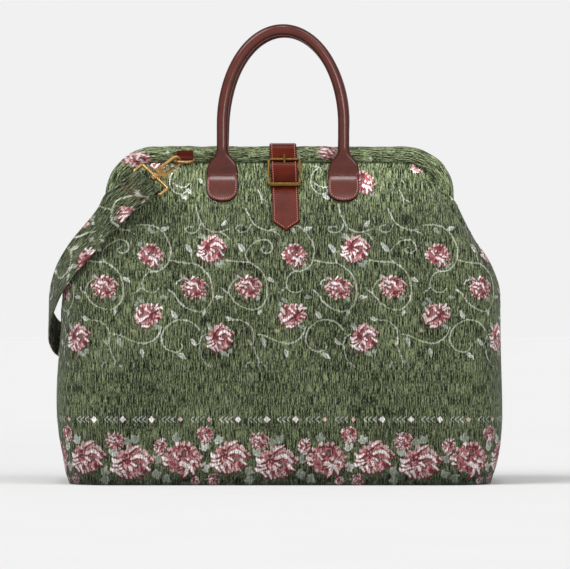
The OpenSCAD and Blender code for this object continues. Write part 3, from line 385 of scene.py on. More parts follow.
class Canvas:
    """Colours of scattered points of cloth, painted shape by shape."""

    def __init__(self, a, b, seed, wrap=True):
        rng = np.random.default_rng(seed)
        table = rng.uniform(-1, 1, (211, 197, 2))
        col, bar = np.floor(a / 0.9).astype(int), np.floor(b / 2.6).astype(int)
        shake = table[col % 211, bar % 197]
        self.plain_a, self.plain_b = np.mod(a, REPEAT) if wrap else a, b
        self.once_a = a + 0.25 * shake[:, 0]
        self.a = np.mod(self.once_a, REPEAT) if wrap else self.once_a
        self.b = b + 0.6 * shake[:, 1]
        self.wrap = wrap
        self.rgb = np.tile(GROUND, (len(a), 1))
        self.cover = np.zeros(len(a))

    def near(self, a0, a1, b0, b1, way="woven"):
        """Points in a box, at each repeat; way is woven, plain (without the weave's unevenness) or once."""
        a = {"woven": self.a, "plain": self.plain_a, "once": self.once_a}[way]
        b = self.plain_b if way == "plain" else self.b
        rows = (b > b0) & (b < b1)
        for shift in ((-REPEAT, 0, REPEAT) if self.wrap and way != "once" else (0,)):
            at = np.flatnonzero(rows & (a + shift > a0) & (a + shift < a1))
            if len(at):
                yield at, a[at] + shift, b[at]

    def put(self, at, inside, colour):
        at = at[inside]
        self.rgb[at] = colour[inside] if np.ndim(colour) > 1 else colour
        self.cover[at] = 1

    def stroke(self, points, half, colour, way="woven"):
        line = smooth(points, 6)
        (a0, b0), (a1, b1) = line.min(0) - 3, line.max(0) + 3
        for at, x, y in self.near(a0, a1, b0, b1, way):
            d = np.full(len(at), 9.0)
            side = np.zeros(len(at))
            for p, q in zip(line[:-1], line[1:]):
                v = q - p
                f = np.clip(((x - p[0]) * v[0] + (y - p[1]) * v[1]) / (v @ v), 0, 1)
                dx, dy = x - p[0] - f * v[0], y - p[1] - f * v[1]
                e = np.hypot(dx, dy)
                closer = e < d
                d = np.where(closer, e, d)
                side = np.where(closer, dx * v[1] - dy * v[0], side)
            glow = (0.5 + 0.5 * np.sin(x / 7.5 + 1.3) * np.cos(y / 9.5))[:, None] ** 1.5
            tone = colour + 0.75 * (np.maximum(PALE, colour) - colour) * glow
            self.put(at, d < half, np.where(side[:, None] > 0, tone, 0.86 * tone))

    def leaf(self, x0, y0, x1, y1, colour, fat=0.22):
        """Leaf from its stalk end to its tip."""
        ln = math.hypot(x1 - x0, y1 - y0)
        cx, cy = (x1 - x0) / ln, (y1 - y0) / ln
        lo_x, hi_x, lo_y, hi_y = min(x0, x1) - 4, max(x0, x1) + 4, min(y0, y1) - 4, max(y0, y1) + 4
        for at, x, y in self.near(lo_x, hi_x, lo_y, hi_y):
            s = ((x - x0) * cx + (y - y0) * cy) / ln
            n = ((y - y0) * cx - (x - x0) * cy) / ln
            inside = (s > 0) & (s < 1)
            half = fat * np.sin(np.pi * np.clip(s, 0, 1) ** 0.75)
            body = inside & (np.abs(n) < half)
            tone = np.where((n > 0)[:, None], colour, 0.72 * colour + 0.28 * GROUND)
            self.put(at, body, tone)
            self.put(at, body & (np.abs(n) < 0.03) & (s < 0.75), GREY * 0.7)

    def rose(self, cx, cy, rx, ry, kind, turn=0, way="woven"):
        """Full-blown rose: a ragged ground, then the streaks of a drawn kind with dark under-edges."""
        big = 1.15 * max(rx, ry)
        co, si = math.cos(math.radians(turn)), math.sin(math.radians(turn))
        for at, x, y in self.near(cx - big - 2, cx + big + 2, cy - big - 2, cy + big + 2, way):
            x, y = (x - cx) / rx, (y - cy) / ry
            x, y = co * x + si * y, co * y - si * x
            ray, th = np.hypot(x, y), np.arctan2(y, x)
            edge = 0.86 + 0.06 * np.sin(11 * th + kind) + 0.05 * np.sin(7 * th + 2 * kind)
            mottle = np.sin(7 * x + 3 * y + kind) * np.sin(8 * y - 3 * x)
            self.put(at, ray < edge, DEEP + (ROSE - DEEP) * np.clip(0.8 + 0.7 * mottle, 0, 1)[:, None])
            rim = np.sin(16 * th + 3 * kind) > 0.15
            self.put(at, rim & (ray < edge + 0.04) & (ray > edge - 0.13), PINK)
            # The streaks sway, and on the large roses they are split by fine dark lines.
            sway = 0.4 * (ray - 0.5)
            x, y = x * np.cos(sway) - y * np.sin(sway), x * np.sin(sway) + y * np.cos(sway)
            x, y = x + 0.045 * np.sin(9 * y + kind), y + 0.045 * np.sin(8 * x + 2 * kind)
            for x0, y0, x1, y1, half, tone in ROSES[kind % len(ROSES)]:
                along = np.array([x1 - x0, y1 - y0])
                f = np.clip(((x - x0) * along[0] + (y - y0) * along[1]) / (along @ along + 1e-6), 0, 1)
                ex, ey = x - x0 - f * along[0], y - y0 - f * along[1]
                if tone in "wp":
                    self.put(at, np.hypot(ex - 0.02, ey + 0.05) < half + 0.05, 0.75 * DEEP)
                d = np.hypot(ex, ey) - 1.22 * half * (1 - 0.4 * f)
                colour = {"w": WHITE, "p": PINK, "d": 0.75 * DEEP, "e": EYE}[tone]
                self.put(at, d < 0, colour)
                if tone == "w":
                    self.put(at, (d < 0) & (d > -0.25 * half), PINK)
            if big > 18:
                fold = np.abs(np.sin(9 * ray + 2.2 * np.sin(3 * th + kind) + 1.1 * th))
                self.put(at, (ray < edge - 0.05) & (fold < 0.11), 0.85 * DEEP)
                self.put(at, (ray < edge - 0.1) & (ray > 0.25) & (fold > 0.988), PINK)

    def diamond(self, cx, cy, half, colour):
        for at, x, y in self.near(cx - half, cx + half, cy - half, cy + half, "plain"):
            self.put(at, np.abs(x - cx) + np.abs(y - cy) < half, colour)

    def sprig(self, cx, cy, colour, turn, size=9.5):
        for i, da in enumerate((-55, 0, 55)):
            a = math.radians(turn + da)
            ln = size * (1.0 if i == 1 else 0.8)
            self.leaf(cx - 0.2 * ln * math.cos(a), cy - 0.2 * ln * math.sin(a),
                      cx + 0.8 * ln * math.cos(a), cy + 0.8 * ln * math.sin(a), colour, 0.27)

    def vines(self):
        for half, colour, points in VINES:
            self.stroke(points, 0.80 * half, colour)
        for colour, rows in LEAVES:
            for x0, y0, x1, y1 in rows:
                self.leaf(x0, y0, x1, y1, colour)
        for cx, cy, rx, ry, kind, turn in VINE_ROSES:
            self.sprig(cx - 0.8 * rx, cy + 0.8 * ry, GREY, 130, 6)
            self.sprig(cx + 0.7 * rx, cy - 0.9 * ry, GREY, -50, 6)
            self.rose(cx, cy, rx, ry, kind, turn)

    def border(self):
        for i in range(5):
            x = 21.9 + i * DIAMOND_PITCH
            white = i in (0, 3, 4)
            self.diamond(x, BORDER_Z, 3.6 if white else 2.8, WHITE if white else PINK)
            for j in range(3):
                apex = x + 10.5 + 4.7 * j
                for s in (-1, 1):
                    arm = [(apex, BORDER_Z + 0.3 * s), (apex + 3.6, BORDER_Z + 2.9 * s)]
                    self.stroke(arm, 0.6, GREY, "plain")
        for x in np.arange(0, REPEAT, 9.0):
            self.sprig(x, 5 + 5 * math.sin(x), SHADE * 1.3, 70 * math.cos(x), 10)
        for cx, cy, colour, turn in BORDER_LEAVES:
            self.sprig(cx, cy, colour, turn, 11)
        for cx, cy, rx, ry, kind, turn in BORDER_ROSES:
            self.rose(cx, cy, rx, ry, kind, turn)


# Building helpers
def quads(rows, cols, wrap=False):
    """Faces of a grid of points, rows by cols; wrap joins the last column to the first."""
    i, j = np.meshgrid(np.arange(rows - 1), np.arange(cols if wrap else cols - 1), indexing="ij")
    k = (j + 1) % cols
    return np.stack([i * cols + j, (i + 1) * cols + j, (i + 1) * cols + k, i * cols + k], -1).reshape(-1, 4)


def piece(name, points, faces, material, body="bag", tint=None, weave=None):
    """Smooth mesh that rides on a body, with the colour and the place in the weave of each point."""
    me = bpy.data.meshes.new(name)
    me.from_pydata((np.asarray(points, float).reshape(-1, 3) * MM).tolist(), [], [list(f) for f in faces])
    me.polygons.foreach_set("use_smooth", [True] * len(me.polygons))
    me.materials.append(material)
    layers = (("tint", "FLOAT_COLOR", "color", tint), ("weave", "FLOAT_VECTOR", "vector", weave))
    for key, kind, field, values in layers:
        if values is not None:
            me.attributes.new(key, kind, "POINT").data.foreach_set(field, np.asarray(values, float).ravel())
    me.update()
    ob = bpy.data.objects.new(name, me)
    scene.collection.objects.link(ob)
    if body:
        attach(ob, body)
    return ob


def tube(rings):
    """Points and faces of a closed tube from rings of points."""
    rings = np.asarray(rings, float)
    n, m = rings.shape[:2]
    faces = [list(f) for f in quads(n, m, True)]
    faces += [list(range(m)), list(range(n * m - 1, (n - 1) * m - 1, -1))]
    return rings.reshape(-1, 3), faces


def mirrored(side, points, faces):
    """Points and faces of a front piece, turned round for the back where side is -1."""
    if side > 0:
        return points, faces
    return np.asarray(points) * [1, -1, 1], [f[::-1] for f in faces]


def join(parts):
    pts, faces, at = [], [], 0
    for p, f in parts:
        pts.append(p)
        faces += [[k + at for k in g] for g in f]
        at += len(p)
    return np.vstack(pts), faces


# Materials
def shader(name):
    m = bpy.data.materials.new(name)
    m.use_nodes = True
    nt = m.node_tree
    return m, nt, nt.nodes["Principled BSDF"]


def node(nt, kind, **values):
    n = nt.nodes.new(kind)
    for key, value in values.items():
        if key in n.inputs:
            n.inputs[key].default_value = value
        else:
            setattr(n, key, value)
    return n


def feed(nt, socket, value):
    """Link a socket, or set it where the value is a constant."""
    if hasattr(value, "is_linked"):
        nt.links.new(value, socket)
    else:
        socket.default_value = (*value, 1.0) if np.ndim(value) else value


def dress(nt, bsdf, **values):
    """Link or set the inputs of a shader; an underscore stands for a space in their names."""
    for key, value in values.items():
        feed(nt, bsdf.inputs[key.replace("_", " ")], value)


def math_node(nt, op, a, b):
    n = node(nt, "ShaderNodeMath", operation=op)
    feed(nt, n.inputs[0], a)
    feed(nt, n.inputs[1], b)
    return n.outputs[0]


def place(nt):
    return node(nt, "ShaderNodeTexCoord").outputs["Object"]


def noise(nt, vector, scale, stretch, detail, rough):
    mapping = node(nt, "ShaderNodeMapping", Scale=stretch)
    nt.links.new(vector, mapping.inputs["Vector"])
    n = node(nt, "ShaderNodeTexNoise", Scale=scale, Detail=detail, Roughness=rough)
    nt.links.new(mapping.outputs[0], n.inputs["Vector"])
    return n.outputs["Fac"]


def ramp(nt, fac, stops):
    n = node(nt, "ShaderNodeValToRGB")
    el = n.color_ramp.elements
    while len(el) < len(stops):
        el.new(0.5)
    for e, (at, colour) in zip(el, stops):
        e.position = at
        e.color = (*colour, 1.0) if np.ndim(colour) else (colour, colour, colour, 1.0)
    nt.links.new(fac, n.inputs["Fac"])
    return n.outputs["Color"]


def mix_rgb(nt, fac, a, b, blend="MIX"):
    n = node(nt, "ShaderNodeMix", data_type="RGBA", blend_type=blend)
    for i, value in ((0, fac), (6, a), (7, b)):
        feed(nt, n.inputs[i], value)
    return n.outputs[2]


def bump(nt, bsdf, height, distance, strength):
    n = node(nt, "ShaderNodeBump", Distance=distance, Strength=strength)
    nt.links.new(height, n.inputs["Height"])
    nt.links.new(n.outputs[0], bsdf.inputs["Normal"])


def chenille(name):
    """Tufted yarn: streaks run along the second weave coordinate."""
    m, nt, bsdf = shader(name)
    tint = node(nt, "ShaderNodeAttribute", attribute_name="tint")
    weave = node(nt, "ShaderNodeAttribute", attribute_name="weave")
    at = weave.outputs["Vector"]
    streak = noise(nt, at, 1.0, (960, 78, 1), 2.0, 0.55)
    yarn = noise(nt, at, 1.0, (1300, 330, 1), 2.0, 0.6)
    drift = noise(nt, at, 1.0, (16, 9, 1), 2.0, 0.5)
    streak, yarn = math_node(nt, "MULTIPLY", streak, 0.58), math_node(nt, "MULTIPLY", yarn, 0.42)
    drift = math_node(nt, "MULTIPLY", math_node(nt, "SUBTRACT", drift, 0.5), 0.12)
    both = math_node(nt, "ADD", math_node(nt, "ADD", streak, yarn), drift)
    tone = ramp(nt, both, [(0.43, (0.04, 0.04, 0.045)), (0.475, (0.38, 0.38, 0.39)), (0.52, (1.0, 1.0, 1.0)),
                           (0.585, (2.45, 2.41, 2.45))])
    tone = mix_rgb(nt, tint.outputs["Alpha"], (1.0, 1.0, 1.0), tone)
    colour = mix_rgb(nt, 1.0, tint.outputs["Color"], tone, "MULTIPLY")
    bump(nt, bsdf, both, 0.0022, 0.75)
    dress(nt, bsdf, Base_Color=colour, Roughness=0.95, Specular_IOR_Level=0.12, Sheen_Weight=0.12,
          Sheen_Roughness=0.45)
    return m


def leather(name, colour, dark, shine, edged=True):
    """Grained leather; edged pieces carry a tint that darkens and dulls their edges, and on the round handles
    the darkening down their sides is painted shade.
    """
    m, nt, bsdf = shader(name)
    at = place(nt)
    cloud = noise(nt, at, 60.0, (1, 1, 1), 4.0, 0.6)
    speck = noise(nt, at, 900.0, (1, 1, 1), 2.0, 0.6)
    base = ramp(nt, cloud, [(0.3, dark), (0.7, colour)])
    base = mix_rgb(nt, 0.22, base, ramp(nt, speck, [(0.35, dark * 0.6), (0.7, colour * 1.3)]))
    if edged:
        painted_shade_and_tone = node(nt, "ShaderNodeAttribute", attribute_name="tint")
        base = mix_rgb(nt, 1.0, base, painted_shade_and_tone.outputs["Color"], "MULTIPLY")
        shine = math_node(nt, "MULTIPLY", math_node(nt, "POWER", painted_shade_and_tone.outputs["Fac"], 2.0), shine)
    grain = node(nt, "ShaderNodeTexVoronoi", Scale=950.0)
    nt.links.new(at, grain.inputs["Vector"])
    height = math_node(nt, "ADD", math_node(nt, "MULTIPLY", grain.outputs["Distance"], 0.6), cloud)
    bump(nt, bsdf, height, 0.00022, 0.35)
    gloss = ramp(nt, cloud, [(0.3, 0.36), (0.7, 0.26)])
    dress(nt, bsdf, Base_Color=base, Roughness=gloss, Specular_IOR_Level=0.05, Coat_Weight=shine,
          Coat_Roughness=0.24)
    return m


def metal(name, colour, dark, scale, low=0.42, high=0.62, rough=(0.24, 0.45)):
    m, nt, bsdf = shader(name)
    at = place(nt)
    cloud = noise(nt, at, scale, (1, 1, 1), 5.0, 0.65)
    tone = ramp(nt, cloud, [(low, dark), (high, colour)])
    gloss = ramp(nt, cloud, [(low, rough[1]), (high, rough[0])])
    bump(nt, bsdf, noise(nt, at, 1500.0, (1, 1, 0.2), 2.0, 0.5), 0.00005, 0.3)
    dress(nt, bsdf, Base_Color=tone, Roughness=gloss, Metallic=1.0)
    return m


def fibrous(name, colour, dark, scale, spread, detail, rough, deep, relief, dull):
    """Thread or board: dull, with fine fibres."""
    m, nt, bsdf = shader(name)
    fibre = noise(nt, place(nt), scale, (1, 1, 1), detail, rough)
    tone = ramp(nt, fibre, [(0.5 - spread, dark), (0.5 + spread, colour)])
    bump(nt, bsdf, fibre, deep, relief)
    dress(nt, bsdf, Base_Color=tone, Roughness=dull)
    return m


THREAD = dict(scale=1600.0, spread=0.15, detail=2.0, rough=0.5, deep=0.0002, relief=0.5, dull=0.8)
FIBRE_BOARD = dict(scale=220.0, spread=0.2, detail=5.0, rough=0.7, deep=0.0003, relief=0.4, dull=0.9)
CLOTH = chenille("chenille")
LEATHER = leather("leather", srgb(99, 33, 17), srgb(68, 20, 10), 0.8)
STRAP_LEATHER = leather("strap_leather", srgb(101, 33, 15), srgb(74, 21, 9), 0.14)
CHAPE_LEATHER = leather("chape_leather", srgb(101, 33, 15), srgb(74, 21, 9), 0.14, False)
BRASS = metal("antique_brass", srgb(190, 152, 98), srgb(126, 94, 54), 420.0, 0.3, 0.65)
BUCKLE_BRASS = metal("buckle_brass", srgb(122, 94, 50), srgb(76, 57, 29), 380.0, 0.3, 0.65, (0.3, 0.5))
STEEL = metal("steel", srgb(150, 152, 156), srgb(96, 98, 102), 90.0)
# The frames' steel is darkened to near black as painted shade, so the gaps under the rolls read dark.
FRAME_STEEL_PAINTED_SHADE = metal("frame_steel_painted_shade", srgb(44, 44, 46), srgb(26, 26, 28), 90.0, rough=(0.5, 0.7))
PALE_THREAD = fibrous("pale_thread", srgb(218, 158, 142), srgb(178, 112, 98), **THREAD)
BROWN_THREAD = fibrous("brown_thread", srgb(124, 76, 46), srgb(84, 50, 30), **THREAD)
BOARD = fibrous("fibre_board", srgb(150, 128, 98), srgb(112, 92, 68), **FIBRE_BOARD)

# Panels
SHELL_PITCH, FLOAT_PITCH, FLOAT_UP = (2.5, 2.5), (0.8, 0.95), 0.32
HEM, TUCK_R, TUCK_SHADE = 14, ROLL_R - 0.4, 0.3
PATTERN_MID = 150


def painted_light_and_border_tone(z):
    """Painted light by height: lighter where the cloth leans back towards the light above, painted shade
    towards the lower edge where the cloth curves under, and a slightly darker ground across the border.
    """
    painted_shade_and_tone = 0.24 + 0.64 * step(z, 1, 26) + 0.12 * step(z, 48, 76)
    return painted_shade_and_tone * (0.77 + 0.07 * step(z, 70, 150) + 1.15 * step(z, 295, 365))


def on_repeat(u, z):
    return PATTERN_MID + u / UNIT, z / UNIT


def rim_axis(p):
    """Nearest point of the front rim's centre line."""
    x, z = np.abs(p[..., 0]), p[..., 2]
    arc = [CORNER_X, CORNER_Z] + RIM_R * unit(np.stack([x - CORNER_X, z - CORNER_Z], -1))
    low, bent = z < CORNER_Z, x > CORNER_X
    cx = np.where(low, RIM_X, np.where(bent, arc[..., 0], x))
    cz = np.where(low, z, np.where(bent, arc[..., 1], RIM_Z))
    return np.stack([np.sign(p[..., 0]) * cx, np.full_like(x, -RIM_Y), cz], -1)


def cloth_panel(side, seed):
    """Front (side 1) or back (side -1) cloth with its woven flowers as raised floats."""
    p, n, u = cloth_grid(*SHELL_PITCH)
    hem = p[:, :1] * [1, 1, 0] - unit(n[:, :1] * [1, 1, 0]) * HEM
    axis = rim_axis(p[:, -1:])
    tuck = axis + unit(p[:, -1:] - axis) * TUCK_R
    full = np.concatenate([hem, p, tuck], axis=1)
    high = np.c_[-HEM + 0 * u[:, :1], p[..., 2], p[:, -1:, 2] + 3]
    weave = np.stack([np.c_[u[:, :1], u, u[:, -1:]], high, 0 * high], -1) * MM
    shade = painted_light_and_border_tone(full[..., 2])
    shade[:, -1] *= TUCK_SHADE
    tint = np.c_[(GROUND * shade[..., None]).reshape(-1, 3), np.ones(shade.size)]
    shell = mirrored(side, full, quads(*shade.shape))
    shell = piece(f"{SIDES[side]}_cloth", *shell, CLOTH, tint=tint, weave=weave)
    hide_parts(f"{SIDES[side]}_panel")
    p, n, u = cloth_grid(*FLOAT_PITCH)
    a, b = on_repeat(u * side, p[..., 2])
    canvas = Canvas(a.ravel(), b.ravel(), seed)
    canvas.vines()
    canvas.border()
    for rose in CUT_ROSES:
        canvas.rose(*rose, "once")
    cover = canvas.cover.reshape(a.shape)
    cells = (cover[:-1, :-1] + cover[1:, :-1] + cover[1:, 1:] + cover[:-1, 1:]) >= 2
    faces = quads(*a.shape)[cells.ravel()]
    used, faces = np.unique(faces, return_inverse=True)
    faces = faces.reshape(-1, 4)
    lift = FLOAT_UP * (0.6 + 0.4 * cover)[..., None]
    points = (p + n * lift).reshape(-1, 3)[used]
    weave = np.stack([u, p[..., 2], 0 * u], -1).reshape(-1, 3)[used] * MM
    shade = 0.25 + 0.75 * painted_light_and_border_tone(p[..., 2]).reshape(-1, 1)
    tint = np.c_[canvas.rgb * shade, np.where(canvas.cover > 0, 0.42, 1.0)][used]
    floats = piece(f"{SIDES[side]}_flowers", *mirrored(side, points, faces), CLOTH, tint=tint, weave=weave)


for side, seed in ((1, 3), (-1, 4)):
    cloth_panel(side, seed)

# Base cloth, from the edge of its hem to its middle: inset from the outline, height
BASE_RINGS = ((3.6, 3.0), (3.6, 0.7), (4.1, 0.3), (9.0, 0.25), (10.0, 0.9), (11.0, 0.25), (40.0, 0.3))
MID_INSET, MID_SHARE, MID_Z = 50.0, (0.6, 0.4), 0.35


def base_outline(inset):
    return rounded_loop(BASE_W - 2 * inset, BASE_D - 2 * inset, BASE_R - inset, 12)


lines = [(base_outline(inset), z) for inset, z in BASE_RINGS]
lines.append((base_outline(MID_INSET) * MID_SHARE, MID_Z))
rings = [np.c_[line, np.full(len(line), z)] for line, z in lines]
pts, faces = tube(rings[::-1])
tint = np.tile([*(0.8 * GROUND), 1.0], (len(pts), 1))
base_cloth = piece("base_cloth", pts, faces, CLOTH, tint=tint, weave=pts * [1, 1, 0] * MM)
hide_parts("base_panel")

# Rolled rims
ROLL_ROSES = [(-11, 331, 15, 9, 20), (8, 326, 13, 8, 60), (198, 334, 9, 8, 10)]
ROLL_DOTS = [(36, 334), (169, 329), (242, 327)]


def mouth_line(pitch):
    """Centre line of a rim from its left foot over the top to its right foot."""
    up = [[-RIM_X, z] for z in np.linspace(FOOT_Z, CORNER_Z, 6)[:-1]]
    arc = np.radians(np.arange(0, 90, 3))
    left = [[-CORNER_X - RIM_R * math.cos(a), CORNER_Z + RIM_R * math.sin(a)] for a in arc]
    top = [[x, RIM_Z] for x in np.linspace(-CORNER_X, CORNER_X, 60)]
    half = np.array(up + left)
    line = np.vstack([half, top, half[::-1] * [-1, 1]])
    d = lengths(line)
    s = np.linspace(0, d[-1], int(d[-1] / pitch))
    return resample(s, d, line), s


def rim(side, seed):
    name = SIDES[side]
    line, s = mouth_line(1.5)
    tan = unit(np.gradient(line, axis=0))
    nor = np.c_[-tan[:, 1], tan[:, 0]]
    ang = circle(40)
    rng = np.random.default_rng(seed)
    phase = rng.uniform(0, 6.28, 8)
    swell = np.zeros((len(s), len(ang)))
    for i in range(8):
        swell += 0.16 * np.sin(s[:, None] / (3.5 + 4.5 * i) + phase[i] + (i % 4 + 1) * ang[None, :])
    # The foot of the roll swells onto the panel's lip.
    r = ROLL_R - 0.8 + 1.25 * swell + (1.0 - 0.9 * swell) * step(-np.cos(ang), 0.35, 0.95)
    x = line[:, 0, None] + r * np.cos(ang) * nor[:, 0, None]
    z = line[:, 1, None] + r * np.cos(ang) * nor[:, 1, None]
    # The inner sides swell until the two rolls press on each other.
    y = -RIM_Y - (r + 1.8 * step(-np.sin(ang), 0.3, 1.0)) * np.sin(ang)
    y = np.minimum(y, -0.12)
    p = np.stack([x, y, z], -1)
    a, b = on_repeat(side * x, z)
    canvas = Canvas(a.ravel(), b.ravel(), seed, wrap=False)
    for i, (cx, cy, rx, ry, turn) in enumerate(ROLL_ROSES):
        canvas.rose(cx, cy, rx, ry, i, turn)
    for cx, cy in ROLL_DOTS:
        canvas.diamond(cx, cy, 2.0, PALE)
    seen = (np.sin(ang)[None, :] > -0.55).repeat(len(s), 0).ravel()
    cover = canvas.cover * seen
    rgb = np.where(cover[:, None] > 0, canvas.rgb, 1.62 * GROUND)
    tint = np.c_[rgb, np.where(cover > 0, 0.35, 1.0)]
    along = np.broadcast_to(s[:, None], x.shape)
    weave = np.stack([np.broadcast_to(ang * ROLL_R, x.shape), along, 0 * x], -1) * MM
    ob = piece(f"{name}_roll", *mirrored(side, *tube(p)), CLOTH, tint=tint, weave=weave)
    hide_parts(f"{name}_rim")


for side, seed in ((1, 7), (-1, 8)):
    rim(side, seed)

# Leather handles
TAB_W, TAB_LEN, TAB_T = 36.0, 35.0, 4.0
HANDLE_R, ARCH_H, HANDLE_RISE, REAR_LEAN = 6.5, 108.5, 139.0, 1.8
CREASE_DROP, CREASE_UP, NECK_W, NECK_T = 3.0, 0.7, 17.0, 2.7
STITCH_IN, STITCH_TOP = 2.4, 5.5
SPRING_Z = BAG_H + HANDLE_RISE - HANDLE_R - ARCH_H
SLOPE = math.atan((SHOULDER_D / 2 - LIP_D) / (LIP_Z - SHOULDER_Z - LEAN_EASE_D / 2))
CREASE_PANEL_Z = LIP_Z - CREASE_DROP
CREASE_PANEL_Y = float(half_depth(CREASE_PANEL_Z))
CREASE_W = GAP + TAB_T + CREASE_UP
CREASE_Y = CREASE_PANEL_Y + CREASE_W * math.cos(SLOPE)
CREASE_Z = CREASE_PANEL_Z + CREASE_W * math.sin(SLOPE)
DOWN = np.array([0, -math.sin(SLOPE), -math.cos(SLOPE)])
OUT = np.array([0, -math.cos(SLOPE), math.sin(SLOPE)])
CREASE = np.array([0, -CREASE_PANEL_Y, CREASE_PANEL_Z])
# Rings of the neck over the crease: height, half width, half thickness and setback
NECK = [(0.2, 18.0, 1.5, 0.8), (2.0, 18.0, 1.7, 0.9), (4.0, 17.8, 2.0, 0.8), (6.0, 17.5, 2.3, 0.7),
        (7.8, 17.0, 2.6, 0.35)]


def on_tab(s, off):
    return CREASE + s * DOWN + off * OUT


def tab_half(e):
    """Half width of the tab at a distance e from its rounded end."""
    f = np.clip((TAB_W / 2 - e) / (TAB_W / 2), 0, 1)
    return TAB_W / 2 * (1 - f ** 2.5) ** (1 / 2.5)


def tab_outer(s):
    """Height of the tab's outer face over the panel, with a soft swell below the crease."""
    return np.interp(s, (0.0, 1.0, 2.0, 3.0, 4.0, 5.5, 7.5, 10.0, 13.0, 16.0, 20.0, 25.0, 30.0),
                     (5.5, 5.54, 5.61, 5.71, 5.82, 5.98, 6.1, 6.02, 5.75, 5.44, 5.03, 4.5, 4.3))


def leg():
    """Centre, half width, half thickness and squareness of each ring of a leg, from the tab's end up."""
    rows = []
    for e in (0.1, 0.5, 1.2, 2.4, 4.2, 7.0, 10.5, 14.5, 18.5, 22.0, 25.0, 27.5, 29.5, 31.0, 32.0, 33.0, 34.0):
        over = float(tab_outer(TAB_LEN - e))
        rows.append((on_tab(TAB_LEN - e, (over + GAP) / 2), tab_half(e), (over - GAP) / 2, 7))
    top = np.array([0, -CREASE_Y, CREASE_Z])
    for up, half, thick, back in NECK:
        rows.append((top + [0, back, up], half, thick, 6))
    for f in np.linspace(0.1, 1, 10):
        g = step(f, 0, 1)
        half, thick = NECK_W + (HANDLE_R - NECK_W) * g, NECK_T + (HANDLE_R - NECK_T) * f ** 1.3
        rows.append((top + [0, 0, 8 + 20 * f], half, thick, 6 + (2 - 6) * g))
    for z in np.linspace(CREASE_Z + 32, SPRING_Z - 4, 5):
        rows.append((np.array([0, -CREASE_Y, z]), HANDLE_R, HANDLE_R, 2))
    return rows


def handle_rings():
    """Rings of a handle from tab to tab over the arch, and a painted shade for each of their points: the
    round handle darker down its sides, the flat tabs at their edges.
    """
    rows = leg()
    left = [(c + [HANDLE_X - ARCH_A, 0, 0], h, t, n) for c, h, t, n in rows]
    arch = []
    for a in np.radians(np.linspace(0, 180, 61)):
        c = np.array([HANDLE_X - ARCH_A * math.cos(a), -CREASE_Y, SPRING_Z + ARCH_H * math.sin(a)])
        arch.append((c, HANDLE_R, HANDLE_R, 2))
    right = [(c + [HANDLE_X + ARCH_A, 0, 0], h, t, n) for c, h, t, n in rows[::-1]]
    every = left + arch + right
    centre = np.array([r[0] for r in every])
    tan = unit(np.gradient(centre, axis=0))
    ang = circle(40)
    rings, tint = [], []
    for (c, half, thick, n), t in zip(every, tan):
        # The face direction lies in the plane of the leg and turns with it
        face = np.array([0, -t[2], t[1]]) if abs(t[0]) < 1e-6 else np.array([0, -1.0, 0])
        if t[2] < 0 and abs(t[0]) < 1e-6:
            face = -face
        face = unit(face)
        wide = np.cross(t, face)
        u, v = power(np.cos(ang), n), power(np.sin(ang), n)
        rings.append(c + half * u[:, None] * wide + thick * v[:, None] * face)
        flat = np.clip((n - 2) / 4, 0, 1)
        # Painted shade: the round leather darkens down its sides, the flat tabs only at their edges.
        tint.append(1 - 0.62 * step(np.abs(u), 0.45 + 0.45 * flat, 1.0))
    return np.array(rings), np.array(tint)


def grey(values):
    v = np.asarray(values, float).ravel()
    return np.stack([v, v, v, np.ones_like(v)], -1)


def stitches(line, normal, length, space, radius):
    """Short raised threads along a line on a surface, sunk at both ends."""
    d = lengths(line)
    ang = circle(6)
    lift = np.array([-0.45, 0.02, 0.12, 0.02, -0.45])
    size = radius * np.array([0.6, 1.0, 1.0, 1.0, 0.6])
    threads = []
    for i in range(int((d[-1] + space) / (length + space))):
        s = i * (length + space) + length * np.array([0.0, 0.2, 0.5, 0.8, 1.0])
        c = resample(s, d, line)
        n = unit(resample(s, d, normal))
        side = np.cross(unit(np.gradient(c, axis=0)), n)
        round_it = np.cos(ang)[None, :, None] * side[:, None] + np.sin(ang)[None, :, None] * n[:, None]
        threads.append(tube((c + n * lift[:, None])[:, None] + size[:, None, None] * round_it))
    return join(threads)


def tab_stitching(x):
    w = TAB_W / 2 - STITCH_IN
    straight = np.linspace(STITCH_TOP, TAB_LEN - TAB_W / 2, 14)
    pts = [(-w, s) for s in straight]
    for a in np.radians(np.linspace(4, 176, 30)):
        pts.append((w * power(-math.cos(a), 2.5), TAB_LEN - TAB_W / 2 + w * power(math.sin(a), 2.5)))
    pts += [(w, s) for s in straight[::-1]]
    line = np.array([on_tab(s, float(tab_outer(s)) - 0.1) + [x + dx, 0, 0] for dx, s in pts])
    return stitches(line, np.tile(OUT, (len(line), 1)), 2.0, 0.9, 0.46)


for side, name in SIDES.items():
    rings, edge_tint = handle_rings()
    if side < 0:
        rings[..., 0] += REAR_LEAN * step(rings[..., 2], CREASE_Z + 10, SPRING_Z + 40)
    pts, faces = mirrored(side, *tube(rings))
    ob = piece(f"{name}_handle_leather", pts, faces, LEATHER, body=None, tint=grey(edge_tint))
    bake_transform(ob)
    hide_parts(f"{name}_handle", f"{name}_handle_tab_left", f"{name}_handle_tab_right")
    threads = join([tab_stitching(HANDLE_X - ARCH_A), tab_stitching(HANDLE_X + ARCH_A)])
    piece(f"{name}_tab_stitching", *mirrored(side, *threads), PALE_THREAD)

